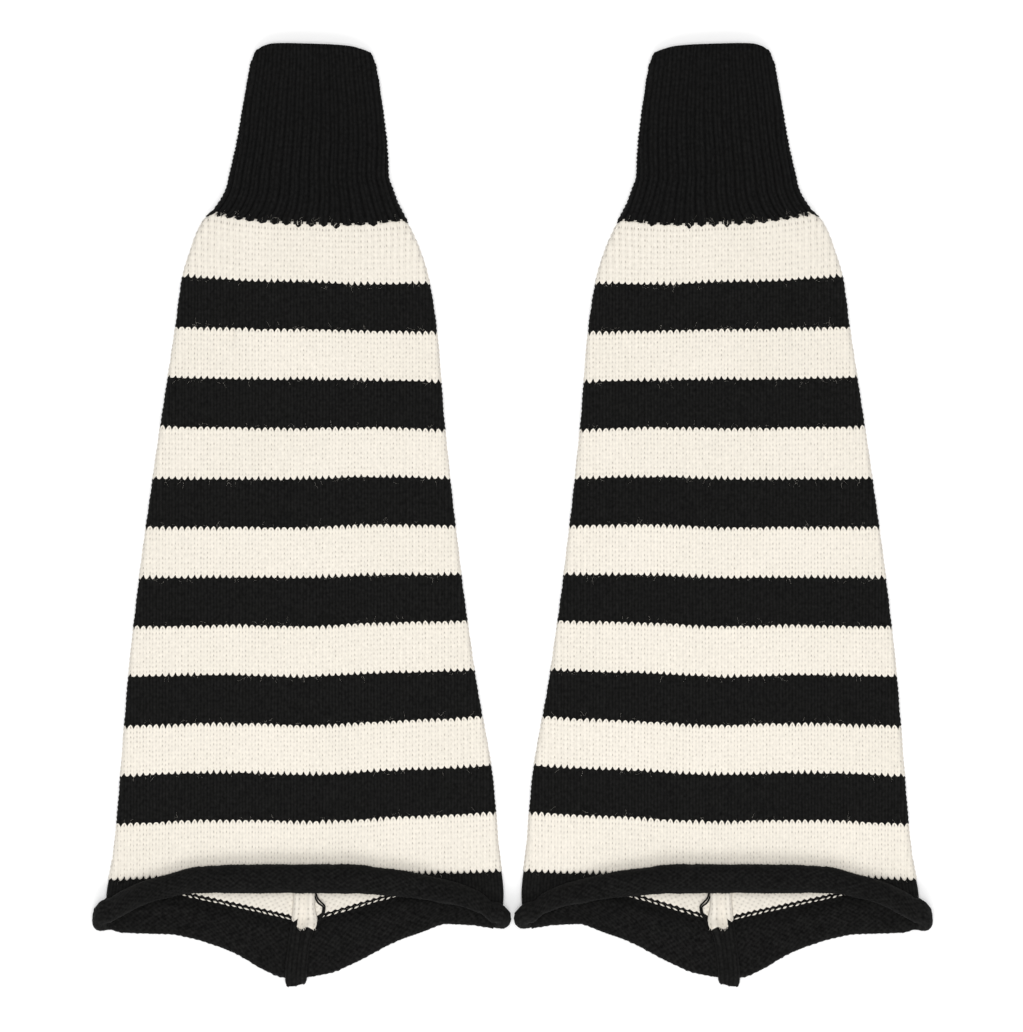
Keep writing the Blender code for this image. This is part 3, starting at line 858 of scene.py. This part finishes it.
# The seam allowance has fine rows of stitches only where it is seen. Its end slants, it stands
# clear of the cloth, and white tips of its wales reach past the body, in mm.
SEAM_FINE_FROM = -168.0 * MM
SEAM_COARSE = 5.0 * MM
SEAM_COURSE = 2.5 * MM
SEAM_WALES = 3
SEAM_COLUMNS = 6
SEAM_LOBE = 0.5 * MM
SEAM_CHEVRON = 0.8
SEAM_SLANT_LEAST = -0.2
SEAM_CLEARANCE = 0.1 * MM
SEAM_FOOT = 5.0 * MM
SEAM_TIPS = (-0.1, 3.0, 3.4)
SEAM_FLARE = 2.2 * MM
SEAM_FLARE_AT = -204.5 * MM
SEAM_FLARE_REACH = 5.5 * MM


def seam_middle(y):
    """The x of the middle of the seam allowance, but for its lean."""
    return across_at(np.maximum(y, SEAM_LEAN_FROM), SEAM_ACROSS) - SEAM_PRESSED


def seam_points(y, wale, course):
    """Rows of points over the two edges, with a foot at each side."""
    ends = [SeamEnd(SEAM_TOP / MM, 0.0, 1.0, 1.0), *SEAM_END][::-1]
    keys = [row.along * MM for row in ends]
    drop = np.interp(y, keys, [row.drop * MM for row in ends])
    width = np.interp(y, keys, [row.width for row in ends])
    height = np.interp(y, keys, [row.height for row in ends])
    x = seam_middle(y) - SEAM_LEAN * smooth_step((SEAM_LEAN_FROM - y) / SEAM_LEAN_RUN)
    foot = WALL + SEAM_CLEARANCE + back_lift(SEAM_ACROSS, y - SEAM_LEAD) - drop
    sides, tops = np.array(SEAM_RIDGES).T * MM
    place_along = np.linspace(0, len(SEAM_RIDGES) - 1, len(wale))
    side = np.interp(place_along, range(len(sides)), sides)
    top = np.interp(place_along, range(len(tops)), tops)
    is_fine = (y <= SEAM_FINE_FROM)[:, None]
    bump = SEAM_LOBE * (knit_lobes(wale[None, :], course[:, None]) - 0.5) * is_fine
    rise = SEAM_CHEVRON * chevron(wale)[None, :] * is_fine
    rise[-1] = 0
    slant = SEAM_END_SLANT * unit((SEAM_END_FROM - y) / (SEAM_END_FROM - y[-1]))[:, None]
    rise = rise + slant * np.clip(side / side[-1], SEAM_SLANT_LEAST, 1.0)[None, :]
    flare = np.exp(-(((y - SEAM_FLARE_AT) / SEAM_FLARE_REACH) ** 2))[:, None]
    flared = SEAM_FLARE * flare * unit(side / side[-1])[None, :]
    points = np.zeros((len(y), len(wale) + 2, 3))
    points[:, 1:-1, 0] = x[:, None] + side[None, :] * width[:, None] + flared
    points[:, 1:-1, 1] = y[:, None] + rise
    points[:, 1:-1, 2] = foot[:, None] + top[None, :] * height[:, None] + bump
    for edge, sign in ((0, -1), (-1, 1)):
        points[:, edge, 0] = x + sign * SEAM_FOOT * width + flared[:, edge]
        points[:, edge, 1] = y + rise[:, edge]
        points[:, edge, 2] = foot
    return points


def seam_shape():
    """Two turned-in edges side by side along the inside of the back."""
    end = SEAM_END[-1].along * MM
    coarse = np.arange(SEAM_TOP, SEAM_FINE_FROM, -SEAM_COARSE)
    fine = np.arange(SEAM_FINE_FROM, end, -SEAM_COURSE / ROWS)
    y = np.concatenate([coarse, fine, [end]])
    wale = np.arange(SEAM_WALES * SEAM_COLUMNS + 1) / SEAM_COLUMNS
    course = np.round((SEAM_TOP - y) / SEAM_COURSE * ROWS) / ROWS
    of_wale = np.minimum(wale.astype(int), SEAM_WALES - 1)
    tips = seam_point(BODY_COURSES) - np.array(SEAM_TIPS)[of_wale] * MM
    points = seam_points(y, wale, course)
    skin = Skin()
    numbers = skin.add_grid(points)
    chart = ([0.0] + wale.tolist() + [wale[-1]], course.tolist())
    blocks = []
    for row, middle in enumerate((y[:-1] + y[1:]) / 2):
        for k in range(points.shape[1] - 1):
            colour = BLACK if middle < tips[min(max(k - 1, 0), len(tips) - 2)] else WHITE
            blocks.append((row, row + 1, k, k + 1, colour))
    skin.add_blocks(numbers, blocks, chart)
    under = numbers[:, [-1, 0]]
    for row in range(len(y) - 1):
        face = [under[row, 0], under[row + 1, 0], under[row + 1, 1], under[row, 1]]
        skin.add_face(face, [(0.0, 0.0)] * 4, BLACK)
    for row, order in ((0, 1), (len(y) - 1, -1)):
        ring = numbers[row].tolist()[::order]
        skin.add_face(ring, [(0.0, 0.0)] * len(ring), BLACK)
    return skin.shape()


def tube(path, radius, sides):
    """Points and faces of a thin strand along a path, with closed ends."""
    path = np.asarray(path, float)
    heading = np.gradient(path, axis=0)
    heading /= np.linalg.norm(heading, axis=1)[:, None]
    across = np.cross(heading, (0.0, 0.0, 1.0))
    across /= np.maximum(np.linalg.norm(across, axis=1), 1e-9)[:, None]
    over = np.cross(across, heading)
    turn = FULL_TURN * np.arange(sides) / sides
    turn = turn[None, :, None]
    ring = across[:, None] * np.cos(turn) + over[:, None] * np.sin(turn)
    radii = np.broadcast_to(radius, len(path))[:, None, None]
    points = (path[:, None] + ring * radii).reshape(-1, 3)
    faces = []
    for row in range(len(path) - 1):
        for k in range(sides):
            a = row * sides + k
            b = row * sides + (k + 1) % sides
            faces.append([a, a + sides, b + sides, b])
    faces.append(list(range(sides)))
    faces.append(list(range(len(points) - 1, len(points) - sides - 1, -1)))
    return points, faces


# Where loose yarn lies on the chart of stitches: on an arm, clear of the gaps' painted shade
LOOSE_CHART = (0.25, 0.25)


def join_shapes(shapes):
    points = []
    faces = []
    base = 0
    for some, over in shapes:
        points.append(some)
        faces.extend([[n + base for n in face] for face in over])
        base += len(some)
    corners = [LOOSE_CHART] * sum(len(face) for face in faces)
    return np.concatenate(points), faces, corners, [WHITE] * len(faces)


# The black yarn carried beside the seam: across and along, in mm, with the second strand's offset
CARRIED = (
    (-99.6, -185.0, 0.2),
    (-98.75, -188.75, 0.4),
    (-98.0, -191.75, 0.5),
    (-96.25, -194.25, 0.8),
    (-94.1, -196.6, 0.5),
    (-94.6, -199.8, 0.45),
    (-96.0, -202.4, 0.4),
    (-98.0, -204.9, 0.3),
)
CARRIED_STEPS = 40
STRAND_RADIUS = 0.42 * MM
STRAND_SIDES = 8
STRAND_SPREAD = 0.9
STRAND_GAP = 0.2 * MM
UPPER_STRAND = 0.3 * MM
TWIST = 0.25 * MM
TWIST_RATE = 4
TWIST_UP = 0.6
TWIST_ASIDE = 0.3


def carried_shape():
    keys = range(len(CARRIED))
    at = np.linspace(0, len(CARRIED) - 1, CARRIED_STEPS)
    x, y, apart = (smooth_lookup(keys, [row[k] * MM for row in CARRIED], at) for k in range(3))
    left, right = edges_at(y)
    across = (x - left - FOLD_INSET) / (right - left - 2 * FOLD_INSET)
    ground = WALL + back_lift(across, y) + PURL_BUMP
    strands = []
    for side in (-1, 1):
        twist = TWIST * np.sin(at * TWIST_RATE + side)
        z = ground + STRAND_RADIUS + STRAND_GAP + twist * TWIST_UP
        z = z + (UPPER_STRAND if side > 0 else 0.0)
        strand_x = x + side * apart * STRAND_SPREAD + twist * TWIST_ASIDE
        path = np.stack([strand_x, y + side * STRAND_GAP, z], axis=1)
        strands.append(tube(path, STRAND_RADIUS, STRAND_SIDES))
    return join_shapes(strands)


# The white loops that show as dashes below the last white course on the purl side. The ranges
# are the parts of a size that it varies between, and the stray is in mm.
DASH_LENGTH = 2.6 * MM
DASH_LENGTHS = (0.85, 1.1)
DASH_RADIUS = 0.5 * MM
DASH_RADII = (0.75, 1.15)
DASH_END_RADIUS = 0.25
DASH_BELOW = 0.6 * MM
DASH_SLANT = math.radians(13)
DASH_SLANTS = (0.5, 1.5)
DASH_HEIGHT = 0.15 * MM
DASH_STRAY = 0.15
DASH_POINTS = 7
DASH_SIDES = 6


def dash_shapes():
    random = np.random.default_rng(11)
    wales = np.arange(-HALF_ROUND, HALF_ROUND)
    last_course = np.array([float(BODY_COURSES)])
    across, angle, y, to_seam = (grid[0] for grid in lay_columns(last_course, wales))
    spots = place(across, angle, y - DASH_BELOW, -HALF_WALL - DASH_HEIGHT)
    dashes = []
    for k in range(1, len(wales) - 1):
        if math.sin(angle[k]) > BACK_FACING or to_seam[k] < SEAM_RIDGES[-1][0] * MM:
            continue
        course = spots[k + 1] - spots[k - 1]
        slope = math.atan2(course[1], course[0])
        down_right = -1 if across[k] < SEAM_ACROSS else 1
        heading = slope + down_right * DASH_SLANT * random.uniform(*DASH_SLANTS)
        length = DASH_LENGTH * random.uniform(*DASH_LENGTHS)
        radius = DASH_RADIUS * random.uniform(*DASH_RADII)
        steps = np.linspace(-0.5, 0.5, DASH_POINTS)
        towards = np.array((math.cos(heading), math.sin(heading), 0.0))
        path = spots[k][None, :] + steps[:, None] * length * towards
        path[:, 1] += random.uniform(-DASH_STRAY, DASH_STRAY) * MM
        radii = radius * np.maximum(DASH_END_RADIUS, np.cos(math.pi * steps))
        dashes.append(tube(path, radii, DASH_SIDES))
    return join_shapes(dashes)


# Loose fibres: their number, in mm their radius, lift, how far out they start and their lengths,
# and how much their heading varies. A stripe's hairs head any way.
Fibre = namedtuple("Fibre", "count radius lift out shortest longest turn")
STRIPE_HAIR = Fibre(50, 0.017, 0.5, 1.55, 1.0, 3.6, 0.0)
CUFF_TUFT = Fibre(6, 0.15, 0.4, 1.4, 1.8, 3.0, 0.5)
SEAM_TUFT = Fibre(26, 0.13, 0.0, 2.9, 1.4, 2.6, 0.35)
EDGE_HAIR = Fibre(170, 0.017, 0.3, 1.0, 0.8, 2.2, 0.8)
# Where they lie, in mm: past a stripe's edge, below the cuff, beside the seam and along the edge
STRIPE_HAIR_PAST = (-1.0, 2.4)
CUFF_TUFT_BELOW = 1.2
SEAM_TUFT_SIDES = (-4.6, 6.0)
SEAM_TUFT_FIRST_TIP = -2.2
SEAM_TUFT_STEP = 0.8
EDGE_HAIR_PLACES = (-175.0, 230.0)
HAIR_STEPS = 6
HAIR_BEND = 0.28
HAIR_TIP = 0.45


def hair(random, kind, start, heading):
    length = random.uniform(kind.shortest, kind.longest) * MM
    lift = kind.lift * MM
    path = [np.array(start)]
    for k in range(HAIR_STEPS):
        heading += random.normal(0, HAIR_BEND)
        step = length / HAIR_STEPS
        rise = lift * math.sin(math.pi * (k + 0.5) / HAIR_STEPS) / HAIR_STEPS
        path.append(path[-1] + np.array([math.cos(heading) * step, math.sin(heading) * step, rise]))
    radii = kind.radius * MM * np.linspace(1.0, HAIR_TIP, HAIR_STEPS + 1)
    return tube(path, radii, sides=3)


def on_front(across, y, out):
    return place(np.array(across), np.array(UP), np.array(y), out)


def fibre_shapes():
    """Loose fibres: pale ones that stray over the black stripes and dark ones off the edges."""
    random = np.random.default_rng(21)
    pale = []
    dark = []
    for band, row in enumerate(COURSES):
        for _ in range(STRIPE_HAIR.count):
            across = random.uniform(0.01, 0.99)
            past = random.uniform(*STRIPE_HAIR_PAST) * MM
            y = front_course(row.number, across) + (-past if band % 2 else past)
            spot = on_front(across, y, STRIPE_HAIR.out * MM)
            pale.append(hair(random, STRIPE_HAIR, spot, random.uniform(0, FULL_TURN)))
    for _ in range(CUFF_TUFT.count):
        across = random.uniform(0.02, 0.98)
        y = front_course(0, across) - CUFF_TUFT_BELOW * MM
        heading = UP + random.normal(0, CUFF_TUFT.turn)
        pale.append(hair(random, CUFF_TUFT, on_front(across, y, CUFF_TUFT.out * MM), heading))
    for _ in range(SEAM_TUFT.count):
        side = random.uniform(*SEAM_TUFT_SIDES)
        tip = SEAM_TIPS[0] if side < SEAM_TUFT_FIRST_TIP else SEAM_TIPS[-1]
        y = seam_point(BODY_COURSES) - (tip - SEAM_TUFT_STEP) * MM
        x = seam_middle(y) + (side - SEAM_TUFT_STEP) * MM
        z = WALL + back_lift(SEAM_ACROSS, y - SEAM_LEAD) + SEAM_TUFT.out * MM
        heading = -UP + random.normal(0, SEAM_TUFT.turn)
        pale.append(hair(random, SEAM_TUFT, (x, y, z), heading))
    for _ in range(EDGE_HAIR.count):
        y = random.uniform(*EDGE_HAIR_PLACES) * MM
        outwards = math.pi * (1 - random.choice((0.0, 1.0)))
        across = 1.0 if outwards == 0 else 0.0
        spot = place(np.array(across), np.array(outwards), np.array(y), EDGE_HAIR.out * MM)
        heading = outwards + random.normal(0, EDGE_HAIR.turn)
        group = dark if random.random() < 0.5 else pale
        group.append(hair(random, EDGE_HAIR, spot, heading))
    return join_shapes(pale), join_shapes(dark)


def node(tree, kind, inputs=(), **settings):
    made = tree.nodes.new(kind)
    for name, value in settings.items():
        setattr(made, name, value)
    for name, value in dict(inputs).items():
        if isinstance(value, bpy.types.NodeSocket):
            tree.links.new(value, made.inputs[name])
        else:
            made.inputs[name].default_value = value
    return made


def calculate(tree, operation, first, second=0.0, third=0.0):
    inputs = {0: first, 1: second, 2: third}
    return node(tree, "ShaderNodeMath", inputs, operation=operation).outputs[0]


def times(tree, first, second):
    return calculate(tree, "MULTIPLY", first, second)


def scaled(tree, value, factor, more):
    return calculate(tree, "MULTIPLY_ADD", value, factor, more)


def stitch_wave(tree, value):
    """A cosine with a period of one stitch."""
    return calculate(tree, "COSINE", times(tree, value, FULL_TURN))


def above_zero(tree, value, power):
    return calculate(tree, "POWER", calculate(tree, "MAXIMUM", value, 0.0), power)


# How a yarn looks: its colours, the last one painted shade in the gaps between stitches, how
# rough it is, its sheen, how uneven its dye and stitches are, and how dark painted shade makes
# its grooves and gaps
Yarn = namedtuple("Yarn", "colour tint deep roughness sheen speckle groove gap")
STRIPE_PERIOD = 20
# The higher these powers are, the smaller is the painted shade of a gap beside a wale, inside a
# stitch, along the wale and on the purl side
BESIDE_POWER = 9.0
INSIDE_POWER = 12.0
GAP_SHORTNESS = 2.0
PURL_POWER = 3.0
# Painted shade: how deep the notches inside stitches are, a gap's strength, what a first course adds
NOTCH_LEVEL = 0.7
GAP_RANGE = 0.9
GAP_LEAST = 0.1
FIRST_COURSE_GAP = 0.45
# The noises over a yarn, in cycles a metre: patches of dye, grains and fibres
PATCH_SCALE = 22.0
GRAIN_SCALE = 620.0
FIBRE_SCALE = 1900.0
# How light the patches make the yarn, its least lightness, and the relief of its plies
PATCH_RANGE = 0.10
PATCH_LEAST = 0.95
DARKEST = 0.2
PLY_HEIGHT = 0.12


def knit_pattern(tree, wale, course):
    """How much painted shade the knit side's gaps take, and where its arms are, which stay lighter
    than the painted shade in the grooves between them, both from 0 to 1. The gaps' shade is deepest
    in a white stripe's first course, where the black one before it also shows through."""
    across = stitch_wave(tree, wale)
    along = stitch_wave(tree, course)
    beside = above_zero(tree, across, BESIDE_POWER)
    inside = above_zero(tree, times(tree, across, -1.0), INSIDE_POWER)
    between = above_zero(tree, scaled(tree, along, -0.5, 0.5), GAP_SHORTNESS)
    at_loop = above_zero(tree, scaled(tree, along, 0.5, 0.5), GAP_SHORTNESS)
    dots = times(tree, beside, between)
    gaps = scaled(tree, times(tree, inside, at_loop), NOTCH_LEVEL, dots)
    since = calculate(tree, "DIVIDE", calculate(tree, "SUBTRACT", course, 1.0), STRIPE_PERIOD)
    first = calculate(tree, "LESS_THAN", calculate(tree, "FRACT", since), 1 / STRIPE_PERIOD)
    slots = [calculate(tree, "ROUND", times(tree, value, 2.0)) for value in (wale, course)]
    spot = node(tree, "ShaderNodeCombineXYZ", {"X": slots[0], "Y": slots[1]}).outputs[0]
    noise = node(tree, "ShaderNodeTexWhiteNoise", {"Vector": spot}, noise_dimensions="2D")
    strength = scaled(tree, noise.outputs["Value"], GAP_RANGE, GAP_LEAST)
    strength = scaled(tree, first, FIRST_COURSE_GAP, strength)
    arms = calculate(tree, "ABSOLUTE", calculate(tree, "SINE", times(tree, wale, FULL_TURN)))
    return times(tree, gaps, strength), arms


def purl_pattern(tree, wale, course):
    """How much painted shade the purl side's gaps take, and how high its bumps are, which stay
    lighter than the painted shade between them, both from 0 to 1.
    """
    brick = times(tree, stitch_wave(tree, wale), stitch_wave(tree, course))
    gaps = above_zero(tree, times(tree, brick, -1.0), PURL_POWER)
    return gaps, scaled(tree, brick, 0.5, 0.5)


def blend(tree, part, first, second):
    inputs = {"Factor": part, "A": first, "B": second}
    return node(tree, "ShaderNodeMix", inputs, data_type="RGBA").outputs["Result"]


def yarn(name, look, pattern):
    """A matt yarn with uneven dye and a fibrous surface, and painted shade: darker in the gaps
    between stitches and in the grooves between their arms.
    """
    made = bpy.data.materials.new(name)
    made.use_nodes = True
    tree = made.node_tree
    shader = tree.nodes["Principled BSDF"]
    chart = node(tree, "ShaderNodeUVMap", uv_map="stitch").outputs["UV"]
    split = node(tree, "ShaderNodeSeparateXYZ", {0: chart})
    wale, course = split.outputs["X"], split.outputs["Y"]
    gaps, arms = pattern(tree, wale, course)
    place_in = node(tree, "ShaderNodeTexCoord").outputs["Object"]
    scales = ((PATCH_SCALE, 2.0), (GRAIN_SCALE, 2.0), (FIBRE_SCALE, 3.0))
    patches, grains, fibre = (
        node(tree, "ShaderNodeTexNoise", {"Vector": place_in, "Scale": scale, "Detail": detail})
        for scale, detail in scales
    )
    plain = scaled(tree, patches.outputs["Fac"], PATCH_RANGE, PATCH_LEAST)
    dye_and_groove_shade = scaled(tree, grains.outputs["Fac"], look.speckle, plain)
    dye_and_groove_shade = calculate(tree, "SUBTRACT", dye_and_groove_shade, look.speckle / 2)
    # Painted shade: the grooves between a stitch's arms are darker
    relief = scaled(tree, arms, look.groove, 1 - look.groove)
    dye_and_groove_shade = times(tree, calculate(tree, "MAXIMUM", dye_and_groove_shade, DARKEST), relief)
    dye = blend(tree, patches.outputs["Fac"], (*look.colour, 1.0), (*look.tint, 1.0))
    # Painted shade: the gaps between stitches blend to the yarn's shade colour
    mixed = blend(tree, times(tree, gaps, look.gap), dye, (*look.deep, 1.0))
    shade = node(tree, "ShaderNodeVectorMath", {0: mixed, "Scale": dye_and_groove_shade}, operation="SCALE")
    tree.links.new(shade.outputs[0], shader.inputs["Base Color"])
    slant = times(tree, course, 2 * FULL_TURN)
    ply = calculate(tree, "SINE", scaled(tree, wale, 4 * FULL_TURN, slant))
    height = scaled(tree, ply, PLY_HEIGHT, fibre.outputs["Fac"])
    bump = node(tree, "ShaderNodeBump", {"Height": height, "Strength": 0.55, "Distance": 0.00025})
    tree.links.new(bump.outputs["Normal"], shader.inputs["Normal"])
    shader.inputs["Roughness"].default_value = look.roughness
    shader.inputs["Specular IOR Level"].default_value = 0.1
    shader.inputs["Sheen Weight"].default_value = look.sheen
    shader.inputs["Sheen Roughness"].default_value = 0.55
    return made


def add_piece(name, shape, materials, node_name, mirrored):
    points, faces, corners, colours = shape
    side = -1.0 if mirrored else 1.0
    mesh = bpy.data.meshes.new(name)
    placed = points * np.array((side, 1.0, 1.0)) + np.array((0.0, ALONG_SHIFT, 0.0))
    order = [face[::-1] for face in faces] if mirrored else faces
    mesh.from_pydata(placed.tolist(), [], order)
    chart = mesh.uv_layers.new(name="stitch")
    if mirrored:
        turned = []
        start = 0
        for face in faces:
            turned.extend(corners[start : start + len(face)][::-1])
            start += len(face)
        corners = turned
    chart.data.foreach_set("uv", np.array(corners, np.float32).ravel())
    for material in materials:
        mesh.materials.append(material)
    mesh.polygons.foreach_set("material_index", np.array(colours, np.int32))
    mesh.shade_smooth()
    piece = bpy.data.objects.new(name, mesh)
    bpy.context.scene.collection.objects.link(piece)
    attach(piece, "root")
    if node_name:
        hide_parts(node_name)
    return piece


def leg_warmer(side, mirrored, shapes, finishes):
    white, black, rib = (finishes[name] for name in ("white", "black", "rib"))
    outside = (white, black, finishes["white_inside"], finishes["black_inside"])
    ribbed = (white, rib, white, rib)
    sheets = (
        ("body_knit", "body", outside, "striped_knit"),
        ("cuff_rib", "cuff", ribbed, "black_rib"),
        ("hem_curl", "hem", outside, "black_hem"),
        ("seam_edges", "seam", outside, "seam_yarn"),
    )
    body, cuff, hem, seam = (
        add_piece(f"{side}_{name}", shapes[part], finish, f"{side}_{part}", mirrored)
        for name, part, finish, slot in sheets
    )
    loose = (
        ("carried_yarn", "carried", black, "seam_yarn"),
        ("last_white_loops", "dashes", white, "striped_knit"),
        ("pale_fibres", "pale", white, "striped_knit"),
        ("dark_fibres", "dark", black, "black_rib"),
    )
    for name, part, finish, slot in loose:
        add_piece(f"{side}_{name}", shapes[part], (finish,), None, mirrored)


def add_light(name, location, size, power):
    lamp = bpy.data.lights.new(name, "AREA")
    lamp.shape = "RECTANGLE"
    lamp.size, lamp.size_y = size
    lamp.energy = power
    holder = bpy.data.objects.new(name, lamp)
    holder.location = location
    direction = -np.array(location) / np.linalg.norm(location)
    holder.rotation_euler = (math.acos(-direction[2]), 0.0, math.atan2(-direction[0], direction[1]))
    bpy.context.scene.collection.objects.link(holder)


# The camera's view, in metres and mm of film, and the room: its light, the paper and the floor
FRAME_WIDTH = 511.5 * MM
CAMERA_HEIGHT = 2.6
SENSOR = 36.0
PICTURE_CENTRE = (-0.5 * MM, -1.25 * MM + ALONG_SHIFT)
SURROUNDING_LIGHT = 0.48
PAPER_LEVELS = {"To Min": 0.93, "To Max": 0.95}
PAPER_GLOW = 0.13
FLOOR_REACH = 3.0


def studio():
    scene = bpy.context.scene
    scene.view_settings.view_transform = "Standard"
    scene.view_settings.look = "None"
    lens = bpy.data.cameras.new("camera")
    lens.sensor_fit = "HORIZONTAL"
    lens.sensor_width = SENSOR
    lens.lens = SENSOR * CAMERA_HEIGHT / FRAME_WIDTH
    lens.clip_end = 20.0
    camera = bpy.data.objects.new("camera", lens)
    camera.location = (*PICTURE_CENTRE, CAMERA_HEIGHT)
    scene.collection.objects.link(camera)
    scene.camera = camera
    world = bpy.data.worlds.new("studio")
    world.use_nodes = True
    background = world.node_tree.nodes["Background"]
    background.inputs["Color"].default_value = (1.0, 1.0, 1.0, 1.0)
    background.inputs["Strength"].default_value = SURROUNDING_LIGHT
    scene.world = world
    add_light("overhead_soft_light", (0.0, 0.05, 3.0), (1.3, 1.3), 46.0)
    add_light("front_soft_light", (0.0, -1.5, 1.7), (1.6, 0.8), 14.0)
    paper = bpy.data.materials.new("white_paper")
    paper.use_nodes = True
    tree = paper.node_tree
    shader = tree.nodes["Principled BSDF"]
    grain = node(tree, "ShaderNodeTexNoise", {"Scale": 60.0, "Detail": 2.0})
    level = node(tree, "ShaderNodeMapRange", {"Value": grain.outputs["Fac"], **PAPER_LEVELS})
    tree.links.new(level.outputs[0], shader.inputs["Base Color"])
    shader.inputs["Roughness"].default_value = 0.9
    shader.inputs["Specular IOR Level"].default_value = 0.1
    shader.inputs["Emission Color"].default_value = (1.0, 1.0, 1.0, 1.0)
    shader.inputs["Emission Strength"].default_value = PAPER_GLOW
    sheet = bpy.data.meshes.new("floor")
    signs = ((-1, -1), (1, -1), (1, 1), (-1, 1))
    corners = [(x * FLOOR_REACH, y * FLOOR_REACH, 0) for x, y in signs]
    sheet.from_pydata(corners, [], [(0, 1, 2, 3)])
    sheet.materials.append(paper)
    floor = bpy.data.objects.new("floor", sheet)
    scene.collection.objects.link(floor)


# The last colour of each yarn, and its groove and gap strengths, are painted shade between stitches
WHITE_YARN = Yarn(
    colour=(0.876, 0.824, 0.724),
    tint=(0.842, 0.79, 0.705),
    deep=(0.30, 0.26, 0.22),
    roughness=0.9,
    sheen=0.2,
    speckle=0.24,
    groove=0.07,
    gap=0.88,
)
BLACK_YARN = Yarn(
    colour=(0.0090, 0.0090, 0.0085),
    tint=(0.0077, 0.0075, 0.0073),
    deep=(0.002, 0.002, 0.002),
    roughness=0.92,
    sheen=0.015,
    speckle=2.3,
    groove=0.5,
    gap=0.8,
)
RIB_YARN = Yarn(
    colour=(0.0068, 0.0068, 0.0066),
    tint=(0.0057, 0.0056, 0.0056),
    deep=(0.001, 0.001, 0.001),
    roughness=0.92,
    sheen=0.015,
    speckle=2.4,
    groove=0.5,
    gap=0.6,
)
# The same yarns on the purl side
WHITE_INSIDE = WHITE_YARN._replace(groove=0.1, gap=0.36)
BLACK_INSIDE = BLACK_YARN._replace(groove=0.5, gap=0.4, speckle=3.0)


def main():
    studio()
    pale, dark = fibre_shapes()
    shapes = {
        "body": body_shape(),
        "cuff": cuff_shape(),
        "hem": hem_shape(),
        "seam": seam_shape(),
        "carried": carried_shape(),
        "dashes": dash_shapes(),
        "pale": pale,
        "dark": dark,
    }
    finishes = {
        "white": yarn("white_yarn", WHITE_YARN, knit_pattern),
        "black": yarn("black_yarn", BLACK_YARN, knit_pattern),
        "white_inside": yarn("white_purl", WHITE_INSIDE, purl_pattern),
        "black_inside": yarn("black_purl", BLACK_INSIDE, purl_pattern),
        "rib": yarn("rib_yarn", RIB_YARN, knit_pattern),
    }
    leg_warmer("left", False, shapes, finishes)
    leg_warmer("right", True, shapes, finishes)


main()
